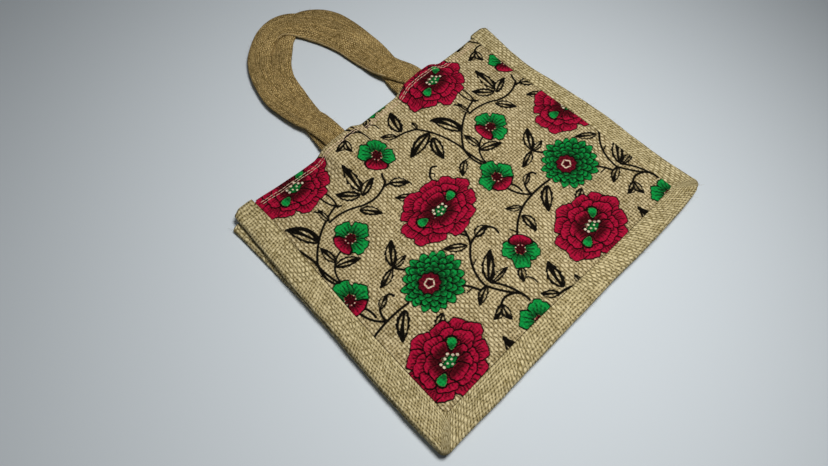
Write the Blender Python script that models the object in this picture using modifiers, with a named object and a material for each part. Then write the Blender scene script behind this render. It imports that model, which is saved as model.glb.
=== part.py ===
"""A small burlap shopping bag, empty and folded flat, lying on its back.

+X runs along the mouth, +Y from the bottom to the mouth and +Z up. The underside is z = 0.
All the sizes below are in millimetres, and the meshes are made in metres.
"""

import math
from collections import namedtuple

import bpy
import numpy as np

MM = 0.001

# The cloth and how it is sewn
CLOTH = 1.5  # thickness of the burlap
GAP = 0.3  # between two pieces that touch
STACK = 13.0  # height of the folded gusset, from the surface to the front's top
SEAM_TURN = 4.0  # how deep a seam's turned-in edges reach
SEAM_BEND = 1.5  # radius of the bend where they turn
HEM_DEPTH = 18.0
HEM_STEP = 2.2  # from the middle of the cloth to the middle of its hem
BACK_MOUTH_EXTRA = 1.0  # how far the back's mouth reaches past the front's
GUSSET_FRONT_EXTRA = 4.0  # and the gusset's front and back flaps
GUSSET_BACK_EXTRA = -1.0

# The gusset's folds
OUTER_FOLD = 2.15  # radius of the two outer folds
INNER_FOLD = 1.45  # radius of the fold that goes in between them
INNER_FOLD_INSET = 1.0  # from the seam to the inner fold
FLAP_CROWN = 0.35
FLAP_EASE = 2.2  # past a seam's bend, over which the flaps turn to their own direction
OUTER_ANGLES = (90, 45, 0, -45, -90)
INNER_ANGLES = (90, 150, 210, 270)
Waver = namedtuple("Waver", "rise length start")
WAVER_X = Waver(0.35, 37, 0.6)  # of the folded gusset's height
WAVER_Y = Waver(0.3, 31, 0.0)

# The handles
HANDLE_SIDES = 12
HANDLE_STEP = 8.5  # between sections
HANDLE_SQUARENESS = 2.5  # 2 is an ellipse
END_TAPER = 0.55
END_SHARPNESS = 50  # degrees, above which an edge is shaded sharp

# Outlines, seen from above. seam is where the panel meets the gusset, edge the front's outer
# fold and back the back's outer fold.
Side = namedtuple("Side", "y seam edge back")
LEFT_SIDE = (
    Side(119, -124.0, -142.0, -150.0),
    Side(92, -122.9, -143.0, -148.6),
    Side(62, -123.5, -143.8, -147.0),
    Side(30, -124.2, -144.2, -145.6),
    Side(-8, -124.9, -143.8, -145.0),
    Side(-50, -124.7, -144.4, -145.4),
    Side(-84, -124.1, -144.0, -144.8),
    Side(-118, -123.6, -142.4, -143.0),
)
RIGHT_SIDE = (
    Side(119, 122.6, 141.6, 142.0),
    Side(104, 121.9, 139.8, 140.6),
    Side(62, 121.0, 136.0, 137.2),
    Side(30, 122.3, 138.8, 139.4),
    Side(-14, 124.5, 142.6, 142.4),
    Side(-60, 124.9, 142.4, 142.0),
    Side(-90, 125.2, 143.2, 142.6),
    Side(-116, 125.4, 145.8, 145.0),
)
Bottom = namedtuple("Bottom", "x seam edge")
BOTTOM = (
    Bottom(-146, -99.8, -117.2),
    Bottom(-90, -98.6, -117.5),
    Bottom(-40, -98.3, -117.2),
    Bottom(33, -100.0, -117.2),
    Bottom(93, -100.4, -117.6),
    Bottom(128, -99.9, -116.2),
    Bottom(148, -99.6, -113.4),
)
Mouth = namedtuple("Mouth", "x y")
MOUTH = (
    Mouth(-125, 114.0),
    Mouth(-95, 112.6),
    Mouth(-66, 111.4),
    Mouth(-38, 112.4),
    Mouth(-10, 113.2),
    Mouth(25, 113.6),
    Mouth(54, 116.2),
    Mouth(78, 115.0),
    Mouth(125, 115.4),
)
SEAM_CORNER = 3.4
EDGE_CORNER = 4.2

# The front's shape. A ridge stands over each pair of handle ends.
Ridge = namedtuple("Ridge", "mouth_x low_x half shoulder rise")
RIDGES = (
    Ridge(-40.0, -40.0, 12.5, 14.5, 7.5),
    Ridge(51.5, 52.0, 13.0, 16.0, 7.5),
)
RIDGE_START = 64.0  # y where the ridges begin
RIDGE_FULL = 100.0
MOUTH_SAG = 1.0
SAG_REACH = 55.0
Swell = namedtuple("Swell", "x y reach_x reach_y rise")
SWELLS = (
    Swell(-8, -20, 75, 60, 1.1),
    Swell(-78, 18, 34, 52, -0.8),
    Swell(72, 40, 46, 34, 0.7),
    Swell(60, -62, 40, 28, -0.7),
    Swell(-52, -70, 36, 24, 0.6),
    Swell(4, 60, 34, 28, -0.8),
)
EDGE_BLEND = 26.0  # over this distance from a seam the swells fade

# The grid of a panel: x of the columns at the mouth, and the rows' distances from it. The hem
# takes up the first four rows.
Stretch = namedtuple("Stretch", "start end columns")
COLUMNS = (
    Stretch(-120.8, -64, 4),
    Stretch(-64, -50, 2),
    Stretch(-50, -27, 4),
    Stretch(-27, -12, 2),
    Stretch(-12, 25, 3),
    Stretch(25, 40, 2),
    Stretch(40, 65, 4),
    Stretch(65, 80, 2),
    Stretch(80, 120.6, 3),
)
ROWS = (0, 6, 12, HEM_DEPTH, 29, 42, 58, 80, 106, 132, 158, 184, 210)
HEM_ROWS = (1, 2, 3)
FOLD_ANGLES = (45, 90, 135, 180)

# The handles' middle lines, from one sewn end to the other. bank lowers the loop's outer side.
Way = namedtuple("Way", "x y z bank wide thick")
FRONT_HANDLE = (
    Way(-37.5, 83, 8.1, 0, 20.0, 3.4),
    Way(-38.5, 96, 11.5, 0, 20.5, 4.6),
    Way(-39.0, 108, 12.3, 0, 21.0, 5.4),
    Way(-39.2, 119, 12.4, 0, 21.0, 5.4),
    Way(-39.4, 131, 11.0, 1, 21.0, 5.4),
    Way(-40.5, 144, 9.8, 3, 21.0, 5.4),
    Way(-44.8, 158, 8.8, 7, 21.0, 5.4),
    Way(-47.7, 174, 7.6, 12, 21.0, 5.4),
    Way(-48.8, 192, 6.9, 15, 21.0, 5.4),
    Way(-45.6, 209, 6.7, 16, 21.0, 5.4),
    Way(-39.6, 225.6, 6.7, 16, 21.0, 5.4),
    Way(-31.4, 238.2, 6.7, 16, 21.0, 5.4),
    Way(-21.2, 247.2, 7.2, 14, 21.0, 5.4),
    Way(-9.0, 253.2, 8.0, 10, 21.5, 5.4),
    Way(2.5, 254.0, 8.8, 6, 22.0, 5.2),
    Way(12.0, 249.3, 9.2, 3, 22.5, 5.0),
    Way(19.7, 240, 9.4, 2, 23.5, 4.8),
    Way(26.0, 229.5, 9.5, 3, 24.0, 4.8),
    Way(31.0, 218, 9.6, 4, 24.5, 4.8),
    Way(35.8, 203, 9.7, 5, 24.5, 4.8),
    Way(39.3, 184, 9.7, 5, 24.5, 4.8),
    Way(41.6, 166, 9.7, 4, 24.5, 4.8),
    Way(43.2, 152, 9.9, 2, 24.0, 5.0),
    Way(45.8, 142, 10.4, 0, 23.0, 5.2),
    Way(49.0, 133, 11.2, 0, 22.0, 5.4),
    Way(51.2, 125, 12.1, 0, 21.5, 5.4),
    Way(52.4, 117, 12.4, 0, 21.0, 5.4),
    Way(53.2, 108, 12.3, 0, 21.0, 5.4),
    Way(54.2, 96, 11.5, 0, 20.5, 4.6),
    Way(55.0, 83, 8.1, 0, 20.0, 3.4),
)
BACK_HANDLE = (
    Way(-43.8, 83, 4.5, 0, 20.0, 3.4),
    Way(-43.8, 96, 6.6, 0, 20.5, 4.6),
    Way(-43.7, 108, 6.7, 0, 21.0, 5.4),
    Way(-43.4, 119, 6.7, 0, 21.0, 5.4),
    Way(-41.4, 133, 5.0, 0, 21.0, 5.4),
    Way(-39.6, 147, 3.6, 0, 21.0, 5.4),
    Way(-38.0, 162, 2.9, 0, 21.0, 5.4),
    Way(-35.6, 179, 2.8, 0, 21.0, 5.4),
    Way(-33.0, 195, 2.8, 0, 21.0, 5.4),
    Way(-29.0, 209, 2.8, 0, 21.0, 5.4),
    Way(-22.5, 221, 2.8, 0, 21.0, 5.4),
    Way(-11.5, 234, 2.8, 0, 21.0, 5.4),
    Way(-0.5, 244.5, 2.8, 0, 21.0, 5.4),
    Way(12.0, 251, 2.8, 0, 21.0, 5.4),
    Way(25.0, 251.5, 2.8, 0, 21.0, 5.4),
    Way(35.2, 246.9, 2.8, 0, 21.0, 5.4),
    Way(42.9, 239.4, 2.8, 0, 21.0, 5.4),
    Way(47.7, 229.2, 2.8, 0, 21.0, 5.4),
    Way(50.6, 215.6, 2.8, 0, 21.0, 5.4),
    Way(52.0, 198, 2.8, 0, 21.0, 5.4),
    Way(51.9, 178, 2.8, 0, 21.0, 5.4),
    Way(50.4, 160, 3.0, 0, 21.0, 5.4),
    Way(46.4, 144, 3.8, 0, 21.0, 5.4),
    Way(43.8, 130, 5.4, 0, 21.0, 5.4),
    Way(42.4, 119, 6.7, 0, 21.0, 5.4),
    Way(42.0, 108, 6.7, 0, 21.0, 5.4),
    Way(41.6, 96, 6.6, 0, 20.5, 4.6),
    Way(41.0, 83, 4.5, 0, 20.0, 3.4),
)

Finish = namedtuple("Finish", "name colour roughness")
BURLAP = Finish("burlap", (0.50, 0.37, 0.21), 0.92)
STRAP = Finish("strap_burlap", (0.42, 0.28, 0.14), 0.92)

Station = namedtuple("Station", "seam edge back")


def clear_scene():
    """Removes every object that is there."""
    for obj in list(bpy.data.objects):
        bpy.data.objects.remove(obj, do_unlink=True)


def new_collection(name):
    """A collection in the scene with this name."""
    collection = bpy.data.collections.new(name)
    bpy.context.scene.collection.children.link(collection)
    return collection


def new_material(finish):
    """A Principled material with this colour and roughness."""
    material = bpy.data.materials.new(finish.name)
    material.use_nodes = True
    shader = material.node_tree.nodes["Principled BSDF"]
    shader.inputs["Base Color"].default_value = (*finish.colour, 1.0)
    shader.inputs["Roughness"].default_value = finish.roughness
    shader.inputs["Metallic"].default_value = 0.0
    return material


def curve_through(knots, values):
    """A function that gives the smooth curve through these values, one for each knot."""
    knots = np.asarray(knots, float)
    values = np.asarray(values, float)
    slopes = np.gradient(values, knots, axis=0)

    def at(place):
        place = min(max(place, knots[0]), knots[-1])
        k = min(max(int(np.searchsorted(knots, place)) - 1, 0), len(knots) - 2)
        span = knots[k + 1] - knots[k]
        f = (place - knots[k]) / span
        start = (1 + 2 * f) * (1 - f) ** 2 * values[k] + f * (1 - f) ** 2 * span * slopes[k]
        end = f * f * (3 - 2 * f) * values[k + 1] - f * f * (1 - f) * span * slopes[k + 1]
        return start + end

    return at


def column_curve(table, along, column):
    """The smooth curve of one column of a table against another."""
    rows = sorted(table, key=lambda row: getattr(row, along))
    knots = [getattr(row, along) for row in rows]
    return curve_through(knots, [getattr(row, column) for row in rows])


def smooth_step(value):
    """From 0 to 1, level at both ends."""
    value = min(max(value, 0.0), 1.0)
    return value * value * (3 - 2 * value)


def between(start, end, part):
    """The point this part of the way from start to end."""
    return start + (end - start) * part


mouth_y = column_curve(MOUTH, "x", "y")
left_seam = column_curve(LEFT_SIDE, "y", "seam")
right_seam = column_curve(RIGHT_SIDE, "y", "seam")
bottom_seam = column_curve(BOTTOM, "x", "seam")
bottom_edge = column_curve(BOTTOM, "x", "edge")


def stack_height(x, y):
    """The gusset's height here, which wavers a little along it."""
    places = ((x, WAVER_X), (y, WAVER_Y))
    return STACK + sum(waver.rise * math.sin(place / waver.length + waver.start) for place, waver in places)


def ridge_rise(ridge, x, y):
    """How far one pair of handle ends lifts the front at a point."""
    along = smooth_step((y - RIDGE_START) / (RIDGE_FULL - RIDGE_START))
    middle = between(ridge.low_x, ridge.mouth_x, along)
    across = smooth_step(1 - (abs(x - middle) - ridge.half) / ridge.shoulder)
    return ridge.rise * along * across


def front_height(x, y):
    """The height of the front's upper face."""
    from_sides = min(x - left_seam(y), right_seam(y) - x)
    inside = smooth_step(from_sides / EDGE_BLEND)
    above_bottom = smooth_step((y - bottom_seam(x)) / EDGE_BLEND)
    waves = sum(
        swell.rise * math.exp(-(((x - swell.x) / swell.reach_x) ** 2) - ((y - swell.y) / swell.reach_y) ** 2)
        for swell in SWELLS
    )
    sag = MOUTH_SAG * smooth_step(1 - (mouth_y(x) - y) / SAG_REACH)
    lift = sum(ridge_rise(ridge, x, y) for ridge in RIDGES)
    return stack_height(x, y) + inside * (above_bottom * waves - sag + lift)


def column_places():
    """The x of each of a panel's columns at the mouth."""
    places = [COLUMNS[0].start]
    for stretch in COLUMNS:
        step = (stretch.end - stretch.start) / stretch.columns
        places += [stretch.start + step * (k + 1) for k in range(stretch.columns)]
    return places


def side_stations(table, outward):
    """The stations down one side, from the mouth to the start of the bottom corner."""
    seam_x = column_curve(table, "y", "seam")
    edge_x = column_curve(table, "y", "edge")
    back_x = column_curve(table, "y", "back")
    corner = BOTTOM[0] if outward < 0 else BOTTOM[-1]
    corner_x = seam_x(corner.seam)
    top = mouth_y(corner_x)
    seam_low = bottom_seam(corner_x) + SEAM_CORNER
    edge_low = bottom_edge(edge_x(corner.edge)) + EDGE_CORNER
    stations = []
    for row in ROWS:
        part = row / ROWS[-1]
        y = between(top, seam_low, part)
        edge_y = between(top, edge_low, part)
        stations.append(
            Station(
                np.array((seam_x(y), y)),
                np.array((edge_x(edge_y), edge_y)),
                np.array((back_x(edge_y), edge_y)),
            )
        )
    return stations


def corner_point(low, radius, outward):
    """The middle of a rounded bottom corner that starts at this point of the side."""
    reach = radius * (1 - math.cos(math.pi / 4))
    return np.array((low[0] - outward * reach, low[1] - radius * math.sin(math.pi / 4)))


def corner_station(low, outward):
    """The station in the middle of the corner below a side's last station."""
    return Station(
        corner_point(low.seam, SEAM_CORNER, outward),
        corner_point(low.edge, EDGE_CORNER, outward),
        corner_point(low.back, EDGE_CORNER, outward),
    )


def bottom_stations(left, right, count):
    """The stations along the bottom between the two corners."""
    seam_x = (left.seam[0] + SEAM_CORNER, right.seam[0] - SEAM_CORNER)
    edge_x = (left.edge[0] + EDGE_CORNER, right.edge[0] - EDGE_CORNER)
    stations = []
    for k in range(count):
        x = between(*seam_x, k / (count - 1))
        outer_x = between(*edge_x, k / (count - 1))
        edge = np.array((outer_x, bottom_edge(outer_x)))
        stations.append(Station(np.array((x, bottom_seam(x))), edge, edge))
    return stations


def seam_stations():
    """Every station from the mouth's left end down, along the bottom and up to its right end."""
    left = side_stations(LEFT_SIDE, -1)
    right = side_stations(RIGHT_SIDE, 1)
    middle = bottom_stations(left[-1], right[-1], len(column_places()) - 2)
    corners = corner_station(left[-1], -1), corner_station(right[-1], 1)
    return [*left, corners[0], *middle, corners[1], *reversed(right)]


def inward_at(points, k):
    """The direction square to a path at one of its points, towards the bag's middle."""
    ahead = points[min(k + 1, len(points) - 1)] - points[max(k - 1, 0)]
    return np.array((-ahead[1], ahead[0])) / np.linalg.norm(ahead)


class Sheet:
    """Open cloth made of grids of points that share their border points."""

    def __init__(self):
        self.points = []
        self.faces = []

    def add(self, point):
        """Adds one point, in millimetres, and gives its number."""
        self.points.append(point)
        return len(self.points) - 1

    def skin(self, lines):
        """Joins neighbouring lines of point numbers with four-sided faces."""
        for first, second in zip(lines, lines[1:]):
            for k in range(len(first) - 1):
                self.faces.append((first[k], first[k + 1], second[k + 1], second[k]))

    def make(self, name, material, collection):
        """The object, with the cloth's thickness."""
        mesh = bpy.data.meshes.new(name)
        mesh.from_pydata([tuple(np.array(point) * MM) for point in self.points], [], self.faces)
        mesh.materials.append(material)
        mesh.shade_smooth()
        obj = bpy.data.objects.new(name, mesh)
        solidify = obj.modifiers.new("thickness", "SOLIDIFY")
        solidify.thickness = CLOTH * MM
        solidify.offset = 0
        solidify.use_even_offset = True
        collection.objects.link(obj)
        return obj


def panel_columns(stations, extra):
    """A panel's columns of places seen from above, each from the mouth to the bottom."""
    inset = CLOTH / 2 + GAP / 2 + SEAM_BEND
    seam = [station.seam for station in stations]
    border = [point + inward_at(seam, k) * inset for k, point in enumerate(seam)]
    rows = len(ROWS)
    left = border[: rows + 1]
    bottom = border[rows:-rows]
    right = border[-rows - 1 :][::-1]
    mouth = [np.array((x, mouth_y(x) + extra)) for x in column_places()]
    mouth[0] = left[0] + np.array((0.0, extra))
    mouth[-1] = right[0] + np.array((0.0, extra))
    depths = [row / (ROWS[-1] + SEAM_CORNER) for row in ROWS] + [1.0]
    columns = []
    for i, (high, low) in enumerate(zip(mouth, bottom)):
        across = i / (len(mouth) - 1)
        column = []
        for j, down in enumerate(depths):
            level = between(high, low, down)
            sides = between(left[j], right[j], across)
            left_line = between(mouth[0], bottom[0], down)
            right_line = between(mouth[-1], bottom[-1], down)
            column.append(level + sides - between(left_line, right_line, across))
        columns.append(column)
    return columns


def seam_section(top, facing):
    """A turned-in edge's distances from the seam and heights, from its end up to the cloth.

    top is the height of the cloth's outer face, and facing is 1 where that is its upper face.
    """
    offset = CLOTH / 2 + GAP / 2
    centre = top - facing * (CLOTH / 2 + SEAM_BEND)
    section = [(offset, top - facing * SEAM_TURN), (offset, centre)]
    for angle in (45, 90):
        turn = math.radians(angle)
        reach = SEAM_BEND * (1 - math.cos(turn))
        section.append((offset + reach, centre + facing * SEAM_BEND * math.sin(turn)))
    return section


def add_hem(sheet, columns, edge, height, facing):
    """Folds the mouth's edge inwards and runs the hem along under the cloth."""
    radius = HEM_STEP / 2
    rows = [edge]
    for angle in FOLD_ANGLES:
        turn = math.radians(angle)
        row = []
        for column in columns:
            x, y = column[0]
            centre = height(x, y) - facing * (CLOTH / 2 + radius)
            z = centre + facing * radius * math.cos(turn)
            row.append(sheet.add((x, y + radius * math.sin(turn), z)))
        rows.append(row)
    for j in HEM_ROWS:
        places = [column[j] for column in columns]
        rows.append([sheet.add((x, y, height(x, y) - facing * (CLOTH / 2 + HEM_STEP))) for x, y in places])
    sheet.skin(rows)


def add_turned_edge(sheet, stations, border, height, facing, extra):
    """Turns the panel's other three edges in along the seam."""
    seam = [station.seam for station in stations]
    lines = []
    for k, point in enumerate(seam):
        x, y, _ = sheet.points[border[k]]
        at_mouth = k in (0, len(seam) - 1)
        shift = np.array((0.0, extra if at_mouth else 0.0))
        line = []
        for distance, z in seam_section(height(x, y), facing)[:-1]:
            place = point + inward_at(seam, k) * distance + shift
            line.append(sheet.add((*place, z)))
        lines.append([*line, border[k]])
    sheet.skin(lines[::-1])


def make_panel(name, stations, height, facing, extra, material, collection):
    """A panel with its hem and turned-in edges. facing is 1 for the front and -1 for the back."""
    sheet = Sheet()
    columns = panel_columns(stations, extra)
    lines = []
    for column in columns:
        lines.append([sheet.add((x, y, height(x, y) - facing * CLOTH / 2)) for x, y in column])
    sheet.skin(lines)
    add_hem(sheet, columns, [line[0] for line in lines], height, facing)
    border = [*lines[0], *(line[-1] for line in lines[1:-1]), *lines[-1][::-1]]
    add_turned_edge(sheet, stations, border, height, facing, extra)
    return sheet.make(name, material, collection)


def fold_points(centre, radius, angles):
    """Points round a fold: distance from the seam and height."""
    turns = [math.radians(angle) for angle in angles]
    return [(centre[0] + radius * math.cos(turn), centre[1] + radius * math.sin(turn)) for turn in turns]


def gusset_section(front_width, back_width, top):
    """The gusset's back-and-forth section: distances out from the seam and heights."""
    out = CLOTH / 2 + OUTER_FOLD
    inner = (INNER_FOLD_INSET + CLOTH / 2 + INNER_FOLD, STACK / 2)
    front_turn = seam_section(STACK, 1)
    back_turn = seam_section(0, -1)[::-1]
    start = front_turn[-1][0]
    section = [
        *front_turn,
        ((start + front_width - out) / 2, STACK - CLOTH / 2 + FLAP_CROWN),
        *fold_points((front_width - out, STACK - out), OUTER_FOLD, OUTER_ANGLES),
        *fold_points(inner, INNER_FOLD, INNER_ANGLES),
        *fold_points((back_width - out, out), OUTER_FOLD, OUTER_ANGLES),
        ((start + back_width - out) / 2, CLOTH / 2),
        *back_turn,
    ]
    lift = top - STACK
    return [(distance, z + lift * smooth_step((z - out) / (STACK - 2 * out))) for distance, z in section]


def make_gusset(stations, material, collection):
    """The strip that joins front and back, folded in between them."""
    sheet = Sheet()
    seam = [station.seam for station in stations]
    lines = []
    for k, station in enumerate(stations):
        at_mouth = k in (0, len(stations) - 1)
        outward = -inward_at(seam, k)
        front_way = station.edge - station.seam
        back_way = station.back - station.seam
        front_width = np.linalg.norm(front_way)
        back_width = np.linalg.norm(back_way)
        line = []
        for distance, z in gusset_section(front_width, back_width, stack_height(*station.seam)):
            in_front = z > STACK / 2
            way = front_way / front_width if in_front else back_way / back_width
            direction = between(outward, way, smooth_step((distance - SEAM_BEND) / FLAP_EASE))
            direction = direction / np.linalg.norm(direction)
            extra = GUSSET_FRONT_EXTRA if in_front else GUSSET_BACK_EXTRA
            shift = np.array((0.0, extra if at_mouth else 0.0))
            line.append(sheet.add((*(station.seam + direction * distance + shift), z)))
        lines.append(line)
    sheet.skin(lines)
    return sheet.make("gusset", material, collection)


def strap_section(width, thick):
    """The outline of a soft flat strap, round at its edges."""
    section = []
    for k in range(HANDLE_SIDES):
        angle = 2 * math.pi * (k + 0.5) / HANDLE_SIDES
        across, up = math.cos(angle), math.sin(angle)
        power = 2 / HANDLE_SQUARENESS
        section.append(
            (
                math.copysign(abs(across) ** power, across) * width / 2,
                math.copysign(abs(up) ** power, up) * thick / 2,
            )
        )
    return section


def strap_route(table):
    """Evenly spaced rows of a handle's table, read from a smooth curve through it."""
    rows = np.array(table, float)
    steps = np.linalg.norm(np.diff(rows[:, :3], axis=0), axis=1)
    knots = np.concatenate([[0], np.cumsum(steps)])
    route = curve_through(knots, rows)
    count = round(knots[-1] / HANDLE_STEP)
    return [route(knots[-1] * k / count) for k in range(count + 1)]


def strap_frame(route, k):
    """The middle of one section with the directions to its outer edge and its upper face."""
    ahead = route[min(k + 1, len(route) - 1)][:3] - route[max(k - 1, 0)][:3]
    heading = ahead / np.linalg.norm(ahead)
    outer = np.array((-heading[1], heading[0], 0.0))
    outer = outer / np.linalg.norm(outer)
    upward = np.cross(heading, outer)
    tilt = math.radians(route[k][3])
    side = outer * math.cos(tilt) - upward * math.sin(tilt)
    face = upward * math.cos(tilt) + outer * math.sin(tilt)
    return route[k][:3], side, face


def make_handle(name, table, material, collection):
    """A strap lofted along its route, closed and tapered at its two sewn ends."""
    route = strap_route(table)
    points, faces = [], []
    for k, row in enumerate(route):
        middle, side, face = strap_frame(route, k)
        wide, thick = row[4:]
        taper = END_TAPER if k in (0, len(route) - 1) else 1.0
        for across, up in strap_section(wide, thick * taper):
            points.append(tuple((middle + side * across + face * up) * MM))
    for ring in range(len(route) - 1):
        for k in range(HANDLE_SIDES):
            a = ring * HANDLE_SIDES + k
            b = ring * HANDLE_SIDES + (k + 1) % HANDLE_SIDES
            faces.append((a, b, b + HANDLE_SIDES, a + HANDLE_SIDES))
    end = len(points) - HANDLE_SIDES
    faces.append(tuple(reversed(range(HANDLE_SIDES))))
    faces.append(tuple(range(end, end + HANDLE_SIDES)))
    mesh = bpy.data.meshes.new(name)
    mesh.from_pydata(points, [], faces)
    mesh.materials.append(material)
    mesh.shade_smooth()
    mesh.set_sharp_from_angle(angle=math.radians(END_SHARPNESS))
    obj = bpy.data.objects.new(name, mesh)
    collection.objects.link(obj)
    return obj


def main():
    """Builds the bag."""
    clear_scene()
    bag = new_collection("burlap_bag")
    burlap = new_material(BURLAP)
    strap = new_material(STRAP)
    stations = seam_stations()
    make_panel("front_panel", stations, front_height, 1, 0.0, burlap, bag)
    make_panel("back_panel", stations, lambda x, y: 0.0, -1, BACK_MOUTH_EXTRA, burlap, bag)
    make_gusset(stations, burlap, bag)
    make_handle("handle_front", FRONT_HANDLE, strap, bag)
    make_handle("handle_back", BACK_HANDLE, strap, bag)


if __name__ == "__main__":
    main()
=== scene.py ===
"""Dresses the folded burlap bag: its cloth, its flower print, its stitches and its studio.

Sizes are in millimetres unless a name says otherwise, and meshes are made in metres.
+X runs along the mouth, +Y from the bottom to the mouth and +Z up.
"""

import logging
import math
from dataclasses import dataclass, field, replace
from enum import Enum
from typing import Callable, NamedTuple, Optional, Sequence, Union

import bmesh
import bpy
import numpy as np
from mathutils import Matrix, Vector


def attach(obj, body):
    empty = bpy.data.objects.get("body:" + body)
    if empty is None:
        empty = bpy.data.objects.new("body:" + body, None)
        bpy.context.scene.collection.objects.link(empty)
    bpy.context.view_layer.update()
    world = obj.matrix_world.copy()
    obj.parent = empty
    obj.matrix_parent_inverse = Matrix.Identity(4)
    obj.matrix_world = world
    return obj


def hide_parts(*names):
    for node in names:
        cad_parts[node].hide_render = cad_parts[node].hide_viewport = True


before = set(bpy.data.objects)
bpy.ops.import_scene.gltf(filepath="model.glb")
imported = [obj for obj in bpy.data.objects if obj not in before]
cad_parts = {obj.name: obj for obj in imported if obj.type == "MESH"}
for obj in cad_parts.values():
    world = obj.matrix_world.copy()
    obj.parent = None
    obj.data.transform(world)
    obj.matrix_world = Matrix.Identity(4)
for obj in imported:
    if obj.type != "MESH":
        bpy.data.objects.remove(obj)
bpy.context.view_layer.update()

log = logging.getLogger("burlap_bag")
MM = 0.001
Array = np.ndarray

TINY = 1e-12

# The cloth and how it is folded and sewn
CLOTH = 1.5  # thickness
STACK = 13.0  # height of the folded bag over the table
SEAM_BEND = 0.8  # radius of the cloth's middle where an edge turns into a seam
SEAM_SQUARENESS = 4.0  # a tight seam presses the outer faces into its corner; 2 is round
SEAM_TURN = 4.0  # how far below the face a turned-in edge ends
SEAM_HALF_GAP = 0.04
SEAM_CORNER = 3.4  # radius of the seam's bottom corners, seen from above
EDGE_CORNER = 4.2  # the same for the outer folds
HEM_STEP = 2.2  # from a panel's outer face to the near face of its hem
HEM_DEPTH = 18.0
BACK_MOUTH_EXTRA = 1.0  # how far the back's mouth shows past the front's
OUTER_FOLD = 2.15  # radii of the gusset's folds
INNER_FOLD = 1.45
INNER_FOLD_INSET = 1.0
FLAP_EASE = 2.2  # over this length past the seam the gusset turns towards its outer fold
BEND_ANGLES = (30, 60, 90)  # steps round the gusset's bend at the seam, in degrees
BEND_START = 1  # number of the section's step where that bend starts


class Side(NamedTuple):
    """One place down a side: its y, the seam, the front's outer fold and the back's."""

    y: float
    seam: float
    edge: float
    back: float


class Bottom(NamedTuple):
    """One place along the bottom: its x, the seam and the outer fold."""

    x: float
    seam: float
    edge: float


class Swell(NamedTuple):
    """A soft rise or dip in the front."""

    x: float
    y: float
    reach_x: float
    reach_y: float
    rise: float


class Ridge(NamedTuple):
    """Where a pair of handle ends lifts the front."""

    x: float
    half: float
    shoulder: float
    rise: float


class Way(NamedTuple):
    """One place on a handle's middle line, with its bank in degrees and its section."""

    x: float
    y: float
    z: float
    bank: float
    wide: float
    thick: float


LEFT_SIDE = (
    Side(119, -124.0, -142.0, -150.0),
    Side(92, -122.9, -143.0, -148.6),
    Side(62, -123.5, -143.8, -147.0),
    Side(30, -124.2, -144.2, -145.6),
    Side(-8, -124.9, -143.8, -145.0),
    Side(-50, -124.7, -144.4, -145.4),
    Side(-84, -124.1, -144.0, -144.8),
    Side(-118, -123.6, -142.4, -143.0),
)
RIGHT_SIDE = (
    Side(119, 122.6, 141.6, 142.0),
    Side(104, 121.9, 139.8, 140.6),
    Side(62, 121.0, 136.0, 137.2),
    Side(30, 122.3, 138.8, 139.4),
    Side(-14, 124.5, 142.6, 142.4),
    Side(-60, 124.9, 142.4, 142.0),
    Side(-90, 125.2, 143.2, 142.6),
    Side(-116, 125.4, 145.8, 145.0),
)
BOTTOM = (
    Bottom(-146, -99.8, -117.2),
    Bottom(-90, -98.6, -117.5),
    Bottom(-40, -98.3, -117.2),
    Bottom(33, -100.0, -117.2),
    Bottom(93, -100.4, -117.6),
    Bottom(128, -99.9, -116.2),
    Bottom(148, -99.6, -113.4),
)
MOUTH = (  # x and y
    (-125, 114.0),
    (-95, 112.6),
    (-66, 111.4),
    (-38, 112.4),
    (-10, 113.2),
    (25, 113.6),
    (54, 116.2),
    (78, 115.0),
    (125, 115.4),
)
RIDGES = (
    Ridge(-40.0, 12.5, 14.5, 7.5),
    Ridge(51.7, 13.0, 16.0, 7.5),
)
RIDGE_START = 64.0  # the ridges rise from this y to the next
RIDGE_FULL = 100.0
MOUTH_SAG = 1.0  # how far the mouth sinks, fading out over the reach below it
SAG_REACH = 55.0
SWELLS = (
    Swell(-8, -20, 75, 60, 1.1),
    Swell(-78, 18, 34, 52, -0.8),
    Swell(72, 40, 46, 34, 0.7),
    Swell(60, -62, 40, 28, -0.7),
    Swell(-52, -70, 36, 24, 0.6),
    Swell(4, 60, 34, 28, -0.8),
)
EDGE_BLEND = 26.0  # from a seam inwards the front's relief comes up over this length
WAVES = 1.3  # on the front the RIPPLES count this many times

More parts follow.
